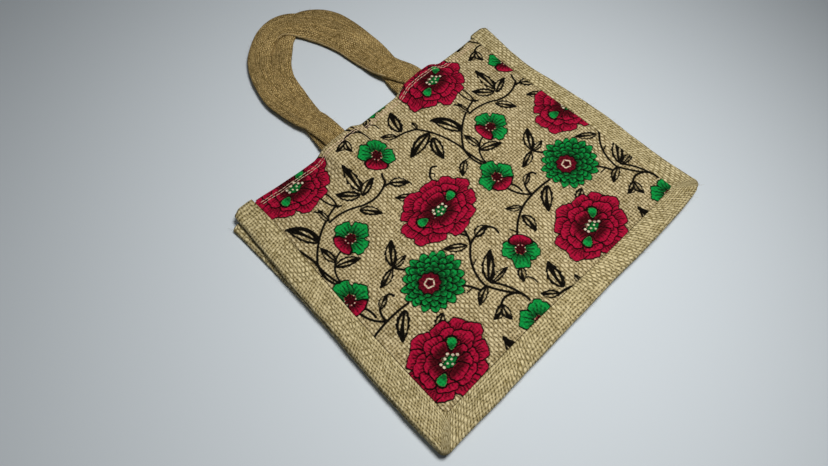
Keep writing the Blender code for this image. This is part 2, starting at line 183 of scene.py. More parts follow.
FRONT_HANDLE = (
    Way(-37.5, 83, 8.1, 0, 20.0, 3.4),
    Way(-38.5, 96, 11.5, 0, 20.5, 4.6),
    Way(-39.0, 108, 12.3, 0, 21.0, 5.4),
    Way(-39.2, 119, 12.4, 0, 21.0, 5.4),
    Way(-39.4, 131, 11.0, 1, 21.0, 5.4),
    Way(-40.5, 144, 9.8, 3, 21.0, 5.4),
    Way(-44.8, 158, 8.8, 0, 21.0, 5.4),
    Way(-47.7, 174, 7.6, -2, 21.0, 5.4),
    Way(-48.8, 192, 6.9, -3, 21.0, 5.4),
    Way(-45.6, 209, 6.7, -3, 21.0, 5.4),
    Way(-39.6, 225.6, 6.7, -3, 21.0, 5.4),
    Way(-31.4, 238.2, 6.7, -3, 21.0, 5.4),
    Way(-21.2, 247.2, 7.2, -3, 21.0, 5.4),
    Way(-9.0, 253.2, 8.0, -3, 21.5, 5.4),
    Way(2.5, 254.0, 8.8, -4, 22.0, 5.2),
    Way(12.0, 249.3, 9.2, -6, 22.5, 5.0),
    Way(19.7, 240, 9.4, -9, 23.5, 4.8),
    Way(26.0, 229.5, 9.5, -12, 24.0, 4.8),
    Way(31.0, 218, 9.6, -13, 24.5, 4.8),
    Way(35.8, 203, 9.7, -13, 24.5, 4.8),
    Way(39.3, 184, 9.7, -13, 24.5, 4.8),
    Way(41.6, 166, 9.7, -10, 24.5, 4.8),
    Way(43.2, 152, 9.9, -5, 24.0, 5.0),
    Way(45.8, 142, 10.4, 0, 23.0, 5.2),
    Way(49.0, 133, 11.2, 0, 22.0, 5.4),
    Way(51.2, 125, 12.1, 0, 21.5, 5.4),
    Way(52.4, 117, 12.4, 0, 21.0, 5.4),
    Way(53.2, 108, 12.3, 0, 21.0, 5.4),
    Way(54.2, 96, 11.5, 0, 20.5, 4.6),
    Way(55.0, 83, 8.1, 0, 20.0, 3.4),
)
BACK_HANDLE = (
    Way(-43.8, 83, 4.5, 0, 20.0, 3.4),
    Way(-43.8, 96, 6.6, 0, 20.5, 4.6),
    Way(-43.7, 108, 6.7, 0, 21.0, 5.4),
    Way(-43.4, 119, 6.7, 0, 21.0, 5.4),
    Way(-41.4, 133, 5.0, 0, 21.0, 5.4),
    Way(-39.6, 147, 3.6, 0, 21.0, 5.4),
    Way(-38.0, 162, 2.9, 0, 21.0, 5.4),
    Way(-35.6, 179, 2.8, 0, 21.0, 5.4),
    Way(-33.0, 195, 2.8, 0, 21.0, 5.4),
    Way(-29.0, 209, 2.8, 0, 21.0, 5.4),
    Way(-22.5, 221, 2.8, 0, 21.0, 5.4),
    Way(-11.5, 234, 2.8, 0, 21.0, 5.4),
    Way(-0.5, 244.5, 2.8, 0, 21.0, 5.4),
    Way(12.0, 251, 2.8, 0, 21.0, 5.4),
    Way(25.0, 251.5, 2.8, 0, 21.0, 5.4),
    Way(35.2, 246.9, 2.8, 0, 21.0, 5.4),
    Way(42.9, 239.4, 2.8, 0, 21.0, 5.4),
    Way(47.7, 229.2, 2.8, 0, 21.0, 5.4),
    Way(50.6, 215.6, 2.8, 0, 21.0, 5.4),
    Way(52.0, 198, 2.8, 0, 21.0, 5.4),
    Way(51.9, 178, 2.8, 0, 21.0, 5.4),
    Way(50.4, 160, 3.0, 0, 21.0, 5.4),
    Way(46.4, 144, 3.8, 0, 21.0, 5.4),
    Way(43.8, 130, 5.4, 0, 21.0, 5.4),
    Way(42.4, 119, 6.7, 0, 21.0, 5.4),
    Way(42.0, 108, 6.7, 0, 21.0, 5.4),
    Way(41.6, 96, 6.6, 0, 20.5, 4.6),
    Way(41.0, 83, 4.5, 0, 20.0, 3.4),
)


# Curves and soft shapes -------------------------------------------------------------------


class Curve:
    """A smooth curve through a few values."""

    def __init__(self, knots: Sequence[float], values: Sequence) -> None:
        """Keeps the knots in rising order.

        Args:
            knots: Where each value holds.
            values: A number or a row of numbers for each knot.
        """
        order = np.argsort(np.asarray(knots, float))
        self.knots = np.asarray(knots, float)[order]
        self.values = np.asarray(values, float)[order]
        self.slopes = np.gradient(self.values, self.knots, axis=0)

    def __call__(self, place: Union[float, Array]) -> Array:
        """The curve's value at one place or many.

        Args:
            place: Where to read the curve. Past its ends it stays level.

        Returns:
            The values there.
        """
        place = np.clip(place, self.knots[0], self.knots[-1])
        k = np.clip(np.searchsorted(self.knots, place) - 1, 0, len(self.knots) - 2)
        span = self.knots[k + 1] - self.knots[k]
        f = (place - self.knots[k]) / span
        if self.values.ndim > 1:
            f, span = f[..., None], span[..., None]
        start = (1 + 2 * f) * (1 - f) ** 2 * self.values[k] + f * (1 - f) ** 2 * span * self.slopes[k]
        end = f * f * (3 - 2 * f) * self.values[k + 1] - f * f * (1 - f) * span * self.slopes[k + 1]
        return start + end


def column(table: Sequence, along: str, name: str) -> Curve:
    """The curve of one column of a table against another."""
    return Curve([getattr(row, along) for row in table], [getattr(row, name) for row in table])


def smooth(value: Union[float, Array]) -> Array:
    """From 0 to 1, level at both ends."""
    value = np.clip(value, 0.0, 1.0)
    return value * value * (3 - 2 * value)


def between(start: Array, end: Array, part: Union[float, Array]) -> Array:
    """The value this part of the way from start to end."""
    return start + (end - start) * part


def wave(place: Array, rise: float, length: float, phase: float = 0.0) -> Array:
    """A wave along a line. It repeats after 2 pi lengths."""
    return rise * np.sin(place / length + phase)


def unit(vectors: Array) -> Array:
    """The vectors at length 1."""
    return vectors / (np.linalg.norm(vectors, axis=-1, keepdims=True) + TINY)


class Ripple(NamedTuple):
    """One plane wave of the cloth's unevenness."""

    length: float
    heading: float
    phase: float
    rise: float


RIPPLES = (
    Ripple(61, 0.5, 0.4, 0.10),
    Ripple(43, 2.2, 1.9, 0.09),
    Ripple(29, 1.3, 4.1, 0.07),
    Ripple(23, 2.9, 0.9, 0.05),
    Ripple(15, 0.9, 2.6, 0.035),
    Ripple(11, 1.9, 5.2, 0.03),
)


def uneven(x: Array, y: Array) -> Array:
    """How far the cloth waves up or down at a place.

    Args:
        x: Places along X, in millimetres.
        y: Places along Y.

    Returns:
        Millimetres, above 0 where it waves up.
    """
    total = np.zeros(np.broadcast(x, y).shape)
    for ripple in RIPPLES:
        across = x * math.cos(ripple.heading) + y * math.sin(ripple.heading)
        total += ripple.rise * np.sin(2 * math.pi * across / ripple.length + ripple.phase)
    return total


class Outline:
    """The bag's seams, folds and mouth, seen from above."""

    def __init__(self) -> None:
        """Reads the curves from the tables."""
        self.left_seam = column(LEFT_SIDE, "y", "seam")
        self.right_seam = column(RIGHT_SIDE, "y", "seam")
        self.bottom_seam = column(BOTTOM, "x", "seam")
        self.bottom_edge = column(BOTTOM, "x", "edge")
        self.mouth = Curve([x for x, _ in MOUTH], [y for _, y in MOUTH])

    def stack(self, x: Array, y: Array) -> Array:
        """The folded gusset's height at a place."""
        return STACK + wave(x, 0.35, 37, 0.6) + wave(y, 0.3, 31)

    def front(self, x: Array, y: Array) -> Array:
        """The height of the front's upper face at a place.

        Args:
            x: Places along X, in millimetres.
            y: Places along Y.

        Returns:
            Millimetres over the table.
        """
        from_sides = np.minimum(x - self.left_seam(y), self.right_seam(y) - x)
        inside = smooth(from_sides / EDGE_BLEND)
        above_bottom = smooth((y - self.bottom_seam(x)) / EDGE_BLEND)
        waves = uneven(x, y) * WAVES
        for swell in SWELLS:
            part_x = ((x - swell.x) / swell.reach_x) ** 2
            part_y = ((y - swell.y) / swell.reach_y) ** 2
            waves = waves + swell.rise * np.exp(-part_x - part_y)
        sag = MOUTH_SAG * smooth(1 - (self.mouth(x) - y) / SAG_REACH)
        along = smooth((y - RIDGE_START) / (RIDGE_FULL - RIDGE_START))
        lift = 0.0
        for ridge in RIDGES:
            across = smooth(1 - (np.abs(x - ridge.x) - ridge.half) / ridge.shoulder)
            lift = lift + ridge.rise * along * across
        return self.stack(x, y) + inside * (above_bottom * waves - sag + lift)


# Meshes -----------------------------------------------------------------------------------


def grid_cells(rows: int, columns: int) -> Array:
    """For each cell of a grid of points the numbers of its four corners."""
    number = np.arange(rows * columns).reshape(rows, columns)
    return np.stack([number[:-1, :-1], number[:-1, 1:], number[1:, 1:], number[1:, :-1]], -1)


def loop_faces(rings: int, sides: int) -> list:
    """The faces of a tube: its sides, ring by ring, and its two ends.

    Args:
        rings: How many rings of points it has.
        sides: How many points a ring has.

    Returns:
        Lists of point numbers.
    """
    faces = []
    for i in range(rings - 1):
        for k in range(sides):
            a, b = i * sides + k, i * sides + (k + 1) % sides
            faces.append([a, b, b + sides, a + sides])
    total = rings * sides
    return faces + [list(range(sides))[::-1], list(range(total - sides, total))]


def new_object(
    name: str, points: Array, faces: Sequence, cloth: Optional[Array] = None
) -> bpy.types.Object:
    """Makes a smooth mesh object that rides on the bag.

    Args:
        name: The object's name.
        points: Its points, in millimetres.
        faces: Rows of point numbers.
        cloth: For each point its place on the flat cloth, in millimetres.

    Returns:
        The object, linked to the scene.
    """
    mesh = bpy.data.meshes.new(name)
    mesh.from_pydata((np.asarray(points) * MM).tolist(), [], [tuple(map(int, face)) for face in faces])
    if cloth is not None:
        flat = np.zeros((len(points), 3), np.float32)
        flat[:, : cloth.shape[1]] = cloth
        layer = mesh.attributes.new("cloth", "FLOAT_VECTOR", "POINT")
        layer.data.foreach_set("vector", flat.ravel())
    work = bmesh.new()
    work.from_mesh(mesh)
    bmesh.ops.recalc_face_normals(work, faces=work.faces)
    work.to_mesh(mesh)
    work.free()
    mesh.shade_smooth()
    obj = bpy.data.objects.new(name, mesh)
    bpy.context.scene.collection.objects.link(obj)
    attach(obj, "root")
    return obj


def set_layer(obj: bpy.types.Object, name: str, values: Array) -> None:
    """Stores one number for each point of an object."""
    layer = obj.data.attributes.new(name, "FLOAT", "POINT")
    layer.data.foreach_set("value", np.asarray(values, np.float32))


class ThickGrid:
    """A grid of points as cloth: a fine outer face, a coarse inner face and a closed rim."""

    def __init__(self, outer: Array, cloth: Array, kept: Array, step: int, thickness: float) -> None:
        """Keeps the grid.

        Args:
            outer: Rows by columns of points on the outer face.
            cloth: The same points' places on the flat cloth.
            kept: For each cell whether it is part of the cloth.
            step: How many fine cells make one inner cell. It divides rows and columns.
            thickness: The cloth's thickness. Its sign says on which side the inner face is.
        """
        self.outer = outer
        self.cloth = cloth
        self.kept = kept
        self.step = step
        self.thickness = thickness

    def build(self) -> tuple[Array, list, Array]:
        """The whole closed surface.

        Returns:
            Its points, its faces and each point's place on the flat cloth.
        """
        rows, columns = self.outer.shape[:2]
        number = np.arange(rows * columns).reshape(rows, columns)
        faces = grid_cells(rows, columns)[self.kept].tolist()
        normal = unit(np.cross(np.gradient(self.outer, axis=1), np.gradient(self.outer, axis=0)))
        step = self.step
        inner = (self.outer + normal * self.thickness)[::step, ::step]
        inner_number = np.arange(inner.shape[0] * inner.shape[1]).reshape(inner.shape[:2])
        inner_number += rows * columns
        kept = self.kept[::step, ::step]
        for i, j in zip(*np.nonzero(kept)):
            corners = ((i, j), (i + 1, j), (i + 1, j + 1), (i, j + 1))
            faces.append([inner_number[corner] for corner in corners])
            for first, second in zip(corners, corners[1:] + corners[:1]):
                if self.open_edge(kept, (i, j), first, second):
                    faces += self.rim(number, inner_number, first, second)
        points = np.concatenate([self.outer.reshape(-1, 3), inner.reshape(-1, 3)])
        cloth = np.concatenate([self.cloth.reshape(-1, 2), self.cloth[::step, ::step].reshape(-1, 2)])
        return self.without_loose(points, faces, cloth)

    @staticmethod
    def open_edge(kept: Array, cell: tuple, first: tuple, second: tuple) -> bool:
        """Whether an inner cell's edge is on the rim.

        Args:
            kept: The inner cells that are cloth.
            cell: The cell's row and column.
            first: One corner of the edge.
            second: Its other corner.

        Returns:
            True where the cell on the edge's other side isn't cloth.
        """
        i, j = cell
        if first[0] == second[0]:
            other = (i - 1, j) if first[0] == i else (i + 1, j)
        else:
            other = (i, j - 1) if first[1] == j else (i, j + 1)
        inside = 0 <= other[0] < kept.shape[0] and 0 <= other[1] < kept.shape[1]
        return not (inside and kept[other])

    def rim(self, number: Array, inner_number: Array, first: tuple, second: tuple) -> list:
        """The faces that close one inner edge to the fine edges beside it.

        Args:
            number: Point numbers of the outer face.
            inner_number: Point numbers of the inner face.
            first: One inner corner of the edge.
            second: Its other corner.

        Returns:
            A fan of three-sided faces.
        """
        step = self.step
        move = (second[0] - first[0], second[1] - first[1])
        row, column_at = first[0] * step, first[1] * step
        fine = [number[row + move[0] * k, column_at + move[1] * k] for k in range(step + 1)]
        a, b = inner_number[first], inner_number[second]
        half = step // 2
        fan = [[fine[k], fine[k + 1], a if k < half else b] for k in range(step)]
        return fan + [[fine[half], b, a]]

    @staticmethod
    def without_loose(points: Array, faces: list, cloth: Array) -> tuple[Array, list, Array]:
        """Leaves out the points that no face uses.

        Args:
            points: All the points.
            faces: The faces.
            cloth: The points' places on the flat cloth.

        Returns:
            The same three without those points.
        """
        used = np.zeros(len(points), bool)
        for face in faces:
            used[list(face)] = True
        renumber = np.cumsum(used) - 1
        return points[used], [[renumber[p] for p in face] for face in faces], cloth[used]


NEARLY_UP = (0.13, 0.21, 0.97)  # no path runs along it


def tube(path: Array, radii: Array, sides: int) -> tuple[Array, list]:
    """A closed tube along a path.

    Args:
        path: The points that it follows.
        radii: Its radius at each of them.
        sides: How many sides it has.

    Returns:
        Its points and its faces, numbered from 0.
    """
    heading = unit(np.gradient(path, axis=0))
    side = unit(np.cross(heading, NEARLY_UP))
    up = np.cross(side, heading)
    turns = 2 * math.pi * np.arange(sides) / sides
    ring = side[:, None] * np.cos(turns)[None, :, None] + up[:, None] * np.sin(turns)[None, :, None]
    points = (path[:, None] + ring * radii[:, None, None]).reshape(-1, 3)
    return points, loop_faces(len(path), sides)


class Strands:
    """Many tubes as one mesh."""

    def __init__(self) -> None:
        """Starts empty."""
        self.points: list = []
        self.faces: list = []
        self.count = 0

    def add(self, path: Array, radii: Array, sides: int) -> None:
        """Adds one tube.

        Args:
            path: The points that it follows.
            radii: Its radius at each of them.
            sides: How many sides it has.
        """
        points, faces = tube(path, radii, sides)
        self.faces += [[p + self.count for p in face] for face in faces]
        self.points.append(points)
        self.count += len(points)

    def make(self, name: str) -> bpy.types.Object:
        """The object of all the tubes."""
        return new_object(name, np.concatenate(self.points), self.faces)


# The print --------------------------------------------------------------------------------

FAR = 3.0  # the distance from an edge that stands for any greater one
REPEAT_ACROSS = (150.0, -2.5)  # from one repeat to the next, x and y
REPEAT_DOWN = (-5.5, -180.0)
SOFT = 0.6  # shading comes up over about this length inside an edge


class Colour(Enum):
    """The print's colours, from the one laid first to the one laid last."""

    RED = "red_ink"
    GREEN = "green_ink"
    CREAM = "bare"
    BLACK = "black_ink"


class Ink:
    """The print at a set of places: each colour's distance from its edge, below zero where it lies."""

    def __init__(self, x: Array, y: Array) -> None:
        """Starts bare.

        Args:
            x: The places on the flat cloth.
            y: The same places' other coordinate.
        """
        self.x = x
        self.y = y
        self.depth = {colour: np.full(len(x), FAR) for colour in Colour}
        self.shade = np.zeros(len(x))

    def near(self, x: float, y: float, reach: float) -> Array:
        """The numbers of the places near a point."""
        return np.nonzero((np.abs(self.x - x) < reach) & (np.abs(self.y - y) < reach))[0]

    def fill(self, colour: Colour, where: Array, distance: Array) -> None:
        """Lays a colour over what is there.

        Args:
            colour: The colour.
            where: The numbers of the places.
            distance: Their distance from the shape's edge, below zero inside.
        """
        for name, depth in self.depth.items():
            if name is colour:
                depth[where] = np.minimum(depth[where], distance)
            else:
                depth[where] = np.maximum(depth[where], -distance)
        self.shade[where] = np.where(distance < 0, 0.0, self.shade[where])

    def line(self, where: Array, distance: Array, width: float) -> None:
        """Draws a black line of this width where distance is 0."""
        depth = self.depth[Colour.BLACK]
        depth[where] = np.minimum(depth[where], np.abs(distance) - width / 2)

    def clear(self, where: Array, distance: Array) -> None:
        """Leaves the cloth bare where distance is below 0."""
        for depth in self.depth.values():
            depth[where] = np.maximum(depth[where], -distance)

    def darken(self, where: Array, amount: Array) -> None:
        """Shades the colours below by up to 1."""
        self.shade[where] = np.maximum(self.shade[where], amount)


@dataclass(frozen=True)
class Petal:
    """One petal of a flower, drawn from the flower's middle outwards."""

    heading: float
    reach: float
    half_length: float
    half_width: float
    taper: float = 0.0
    ruffle: float = 0.05
    lobes: float = 5.0
    veins: int = 3
    line: float = 1.0
    base: float = 0.9
    dark: float = 0.35

    def lay(self, ink: Ink, where: Array, x: Array, y: Array, colour: Colour) -> None:
        """Draws the petal, its outline and its veins.

        Args:
            ink: The print.
            where: The numbers of the places near the flower.
            x: Their distance from the flower's middle along X.
            y: The same along Y.
            colour: The petal's colour.
        """
        t = x * math.cos(self.heading) + y * math.sin(self.heading) - self.reach + self.half_length
        s = -x * math.sin(self.heading) + y * math.cos(self.heading)
        width = self.half_width * np.clip(1 - self.taper * t / self.half_length, 0.15, 2)
        round_it = np.arctan2(s / width, t / self.half_length)
        edge = 1 + self.ruffle * np.cos(self.lobes * round_it + self.heading * 7)
        edge = edge + 0.45 * self.ruffle * np.cos((2 * self.lobes + 1) * round_it + self.heading * 3)
        size = min(self.half_length, self.half_width)
        distance = (np.hypot(t / self.half_length, s / width) - edge) * size
        ink.fill(colour, where, distance)
        inside = smooth(-distance / 0.8)
        fan = np.arctan2(s, t + self.half_length * 1.3)
        spread = math.atan2(self.half_width * 0.66, self.half_length * 1.6)
        shade = self.base * smooth(self.dark - t / self.half_length)
        for k in range(self.veins):
            aim = spread * (2 * k / max(self.veins - 1, 1) - 1) if self.veins > 1 else 0.0
            chance = math.sin(5 * self.heading + 2 * k)
            reach = self.half_length * (0.66 - 0.35 * abs(aim) + 0.2 * chance)
            off = np.abs(fan - aim) * (t + self.half_length * 1.3)
            shade = np.maximum(shade, smooth(1.4 - off / 0.6) * smooth((reach - t) / 2.0))
        ink.darken(where, shade * inside)
        ink.line(where, distance, self.line)


class Ring(NamedTuple):
    """One ring of equal petals. Reach and sizes are parts of the flower's radius."""

    petals: int
    reach: float
    half_length: float
    half_width: float
    turn: float
    dark: float

    def order(self) -> list[int]:
        """Every second petal and then the ones between, which lie over them."""
        return [*range(0, self.petals, 2), *range(1, self.petals, 2)]

    def heading(self, k: int, stray: float) -> float:
        """Where a petal points, when it strays by a part of a petal."""
        return self.turn + 2 * math.pi * (k + stray) / self.petals


@dataclass(frozen=True)
class Peony:
    """A wide red flower with ruffled petals, a dotted eye and two green buds."""

    x: float
    y: float
    radius: float
    squash: float
    turn: float
    buds: tuple
    eye: tuple = (0.4, -2.5)
    rings: tuple = (
        Ring(11, 1.0, 0.27, 0.265, 0.0, 0.25),
        Ring(8, 0.76, 0.27, 0.27, 0.3, 0.45),
        Ring(7, 0.53, 0.2, 0.22, 0.1, 0.8),
    )
    eye_share: float = 0.17
    dots: int = 10
    inner_dots: int = 3

    def lay(self, ink: Ink) -> None:
        """Draws the flower.

        Args:
            ink: The print.
        """
        where = ink.near(self.x, self.y, self.radius * 1.25)
        if not len(where):
            return
        x = ink.x[where] - self.x
        y = (ink.y[where] - self.y) / self.squash
        for ring in self.rings:
            for k in ring.order():
                chance = math.sin(k * 2.4 + self.turn * 5)
                heading = self.turn + ring.heading(k, 0.12 * chance)
                reach = self.radius * ring.reach * (1 + 0.04 * chance)
                half_length = self.radius * ring.half_length
                half_width = self.radius * ring.half_width * (1 + 0.1 * chance)
                petal = Petal(
                    heading, reach, half_length, half_width, -0.16, 0.075, 4.0, 6, dark=ring.dark
                )
                petal.lay(ink, where, x, y, Colour.RED)
        x, y = x - self.eye[0], y - self.eye[1] / self.squash
        self.lay_eye(ink, where, x, y)
        self.lay_cup(ink, where, x, y)
        for bud_x, bud_y in self.buds:
            self.lay_bud(ink, where, x, y * self.squash, bud_x, bud_y)

    def lay_eye(self, ink: Ink, where: Array, x: Array, y: Array) -> None:
        """Draws the dotted eye.

        Args:
            ink: The print.
            where: The numbers of the places near the flower.
            x: Their distance from the eye's middle along X.
            y: The same along Y.
        """
        size = self.radius * self.eye_share
        angle = np.arctan2(y, x)
        rim = np.hypot(x, y) - size * (1 + 0.12 * np.cos(7 * angle))
        ink.fill(Colour.GREEN, where, rim)
        ink.darken(where, (0.45 + 0.5 * smooth(np.sin(5 * angle))) * smooth(-rim / SOFT))
        ink.line(where, rim, 1.2)
        for k in range(self.dots):
            aim = self.turn + 2 * math.pi * (k + 0.2 * math.sin(3 * k)) / self.dots
            dot = self.dot(x, y, aim, size * (1.3 if k % 2 else 1.0), 1.05)
            ink.line(where, dot, 1.1)
            ink.fill(Colour.CREAM, where, dot)
        for k in range(self.inner_dots):
            ink.fill(Colour.CREAM, where, self.dot(x, y, self.turn + 2.1 * k, 2.3, 0.75))

    def dot(self, x: Array, y: Array, aim: float, out: float, radius: float) -> Array:
        """The distance from the edge of a round dot, which lies this far out in a direction."""
        return np.hypot(x - out * math.cos(aim), (y - out * math.sin(aim)) * self.squash) - radius

    def lay_cup(self, ink: Ink, where: Array, x: Array, y: Array) -> None:
        """Draws the petals that stand up before the eye.

        Args:
            ink: The print.
            where: The numbers of the places near the flower.
            x: Their distance from the eye's middle along X.
            y: The same along Y.
        """
        for heading, reach, half_width in ((-2.35, 0.5, 0.19), (-0.8, 0.52, 0.2), (-1.55, 0.5, 0.24)):
            half_length = self.radius * 0.19
            width = self.radius * half_width
            petal = Petal(heading, self.radius * reach, half_length, width, -0.1, 0.07, 4, 4, dark=0.7)
            petal.lay(ink, where, x, y, Colour.RED)

    def lay_bud(self, ink: Ink, where: Array, x: Array, y: Array, bud_x: float, bud_y: float) -> None:
        """Draws one green bud that points away from the eye.

        Args:
            ink: The print.
            where: The numbers of the places near the flower.
            x: Their distance from the eye's middle along X.
            y: The same along Y.
            bud_x: The bud's distance from the eye's middle along X.
            bud_y: The same along Y.
        """
        heading = math.atan2(bud_y, bud_x)
        along = (x - bud_x) * math.cos(heading) + (y - bud_y) * math.sin(heading)
        across = -(x - bud_x) * math.sin(heading) + (y - bud_y) * math.cos(heading)
        wide = 3.1 * np.clip(1 + 0.1 * along, 0.3, 1.3)
        bud = (np.hypot(along / 4.6, across / wide) - 1 + 0.06 * np.cos(3 * along)) * 3.0
        ink.line(where, bud, 2.0)
        ink.fill(Colour.GREEN, where, bud)
        ink.darken(where, 0.8 * smooth(-bud / 1.2) * smooth(0.4 - along / 3))


@dataclass(frozen=True)
class Dahlia:
    """A round green flower of many short pointed petals with a dark red eye."""

    x: float
    y: float
    radius: float
    squash: float
    turn: float
    eye: tuple
    rings: tuple = (
        Ring(18, 1.0, 0.19, 0.15, 0.0, 0.5),
        Ring(17, 0.82, 0.17, 0.135, 0.17, 0.6),
        Ring(14, 0.65, 0.15, 0.13, 0.05, 0.8),
        Ring(11, 0.5, 0.13, 0.13, 0.2, 1.0),
    )
    eye_share: float = 0.34

    def lay(self, ink: Ink) -> None:
        """Draws the flower.

        Args:
            ink: The print.
        """
        where = ink.near(self.x, self.y, self.radius * 1.2)
        if not len(where):
            return
        x = ink.x[where] - self.x
        y = (ink.y[where] - self.y) / self.squash
        for ring in self.rings:
            shift = 1.15 * (1 - ring.reach)  # inner rings sit nearer the eye, off the middle
            for k in ring.order():
                chance = math.sin(k * 1.9 + self.turn)
                heading = self.turn + ring.heading(k, 0.1 * chance)
                reach = self.radius * ring.reach * (1 + 0.03 * chance)
                half_length = self.radius * ring.half_length
                half_width = self.radius * ring.half_width
                petal = Petal(
                    heading, reach, half_length, half_width, 0.28, 0.04, 3, 1, 0.9, 0.9, ring.dark
                )
                petal.lay(ink, where, x - self.eye[0] * shift, y - self.eye[1] * shift, Colour.GREEN)
        self.lay_eye(ink, where, x - self.eye[0], y - self.eye[1])

    def lay_eye(self, ink: Ink, where: Array, x: Array, y: Array) -> None:
        """Draws the eye with its pale ring.

        Args:
            ink: The print.
            where: The numbers of the places near the flower.
            x: Their distance from the eye's middle along X.
            y: The same along Y.
        """
        radius = np.hypot(x, y)
        angle = np.arctan2(y, x)
        size = self.radius * self.eye_share
        rim = radius - size * (1 + 0.07 * np.cos(9 * angle))
        ink.fill(Colour.RED, where, rim)
        spokes = smooth(1.4 - np.abs(np.sin(4.5 * angle)) * radius / 1.7)
        ink.darken(where, (0.75 + 0.25 * spokes) * smooth(-rim / SOFT))
        ink.line(where, rim, 1.1)
        pale = np.abs(radius - size * 0.42 * (1 + 0.1 * np.cos(5 * angle))) - 0.5
        gaps = 0.35 - np.abs(np.sin(2.5 * angle)) * radius
        ink.fill(Colour.CREAM, where, np.maximum(pale, gaps))


@dataclass(frozen=True)
class Poppy:
    """A small flower on its side: three green petals and a red one."""

    x: float
    y: float
    turn: float
    size: float = 1.0
    green_petals: tuple = ((1.5, 16.0), (-1.45, 15.6), (0.05, 16.8))  # lean and reach
    stamens: int = 7
    flecks: int = 6

    def lay(self, ink: Ink) -> None:
        """Draws the flower.

        Args:
            ink: The print.
        """
        where = ink.near(self.x, self.y, 24 * self.size)
        if not len(where):
            return
        x = (ink.x[where] - self.x) / self.size
        y = (ink.y[where] - self.y) / self.size
        turn = math.radians(self.turn)
        for lean, reach in self.green_petals:
            petal = Petal(turn + math.pi + lean, reach, 8.0, 7.6, -0.22, 0.085, 5, 4)
            petal.lay(ink, where, x, y, Colour.GREEN)
        Petal(turn, 13.2, 4.9, 9.8, 0.1, 0.06, 3, 5).lay(ink, where, x, y, Colour.RED)
        angle = np.arctan2(y, x)
        eye = np.hypot(x, y) - 4.6 * (1 + 0.1 * np.cos(6 * angle))
        ink.fill(Colour.RED, where, eye)
        stripes = smooth(1.3 - np.abs(np.sin(3.5 * angle)) * np.hypot(x, y) / 1.5)
        ink.darken(where, (0.93 + 0.07 * stripes) * smooth(-eye / SOFT))
        for k in range(self.stamens):
            aim = 0.9 * k + turn
            along = x * math.cos(aim) + y * math.sin(aim)
            across = -x * math.sin(aim) + y * math.cos(aim)
            stroke = np.maximum(np.abs(across) - 0.1, np.abs(along - 4.6) - 1.9)
            ink.line(where, np.maximum(stroke, 0), 0.9)
        for k in range(self.flecks):
            aim = turn + 0.75 * (k - (self.flecks - 1) / 2)
            fleck = np.hypot(x - 4.2 * math.cos(aim), y - 4.2 * math.sin(aim)) - 0.5
            ink.fill(Colour.CREAM, where, fleck)


class Slit(NamedTuple):
    """A bare slit beside a leaf's rib. Start and end are parts of the leaf's length."""

    side: int
    start: float
    end: float
    share: float  # how far out it lies, as a part of the leaf's half width
    wide: float  # half its own width, as a part of the leaf's


@dataclass(frozen=True)
class Leaf:
    """A black leaf with a bare slit on each side of its rib."""

    x: float
    y: float
    tip_x: float
    tip_y: float
    width: float
    bend: float = 0.0
    teeth: float = 0.22  # how deep they are, as a part of the half width
    tooth_count: float = 4.5
    fullness: float = 0.62
    slits: tuple = (Slit(1, 0.08, 0.78, 0.4, 0.12), Slit(-1, 0.14, 0.68, 0.36, 0.085))

    def lay(self, ink: Ink) -> None:
        """Draws the leaf.

        Args:
            ink: The print.
        """
        way = np.array((self.tip_x - self.x, self.tip_y - self.y))
        length = float(np.linalg.norm(way))
        middle = (self.x + self.tip_x) / 2, (self.y + self.tip_y) / 2
        where = ink.near(*middle, length / 2 + self.width)
        if not len(where):
            return
        way = way / length
        x, y = ink.x[where] - self.x, ink.y[where] - self.y
        t = (x * way[0] + y * way[1]) / length
        s = -x * way[1] + y * way[0] - self.bend * 4 * t * (1 - t)
        inside = np.clip(t, 0, 1)
        half = self.width * self.fullness * np.sin(math.pi * inside**0.8) ** 0.8
        saw = 1 - self.teeth * (inside * self.tooth_count % 1.0)
        off_end = np.maximum(np.maximum(-t, t - 1), 0) * length
        distance = np.where(off_end > 0, np.hypot(off_end, s), np.abs(s) - half * saw)
        ink.fill(Colour.BLACK, where, distance)
        for slit in self.slits:
            part = (t - slit.start) / (slit.end - slit.start)
            lens = self.width * slit.wide * np.sin(math.pi * np.clip(part, 0, 1))
            middle_line = slit.side * half * slit.share * (0.7 + 0.5 * np.clip(part, 0, 1))
            bare = np.where((part > 0) & (part < 1), np.abs(s - middle_line) - lens, 1.0)
            ink.clear(where, bare)


@dataclass(frozen=True)
class Stem:
    """A black stem along an arc. bulge is how far it bows to the left of its way."""

    x: float
    y: float
    to_x: float
    to_y: float
    bulge: float = 0.0
    width: float = 1.8

    def lay(self, ink: Ink) -> None:
        """Draws the stem.

        Args:
            ink: The print.
        """
        start, end = np.array((self.x, self.y)), np.array((self.to_x, self.to_y))
        length = float(np.linalg.norm(end - start))
        where = ink.near(*((start + end) / 2), length / 2 + abs(self.bulge) + 3)
        if not len(where):
            return
        way = (end - start) / length
        side = np.array((-way[1], way[0]))
        place = np.stack([ink.x[where], ink.y[where]], 1)
        distance = np.full(len(where), FAR)
        steps = np.linspace(0, 1, 13)
        bow = 4 * steps * (1 - steps) * self.bulge
        route = start + np.outer(steps, end - start) + np.outer(bow, side)
        for a, b in zip(route, route[1:]):
            part = np.clip(((place - a) @ (b - a)) / ((b - a) @ (b - a)), 0, 1)
            off = np.linalg.norm(place - a - part[:, None] * (b - a), axis=1)
            distance = np.minimum(distance, off)
        ink.line(where, distance, self.width)


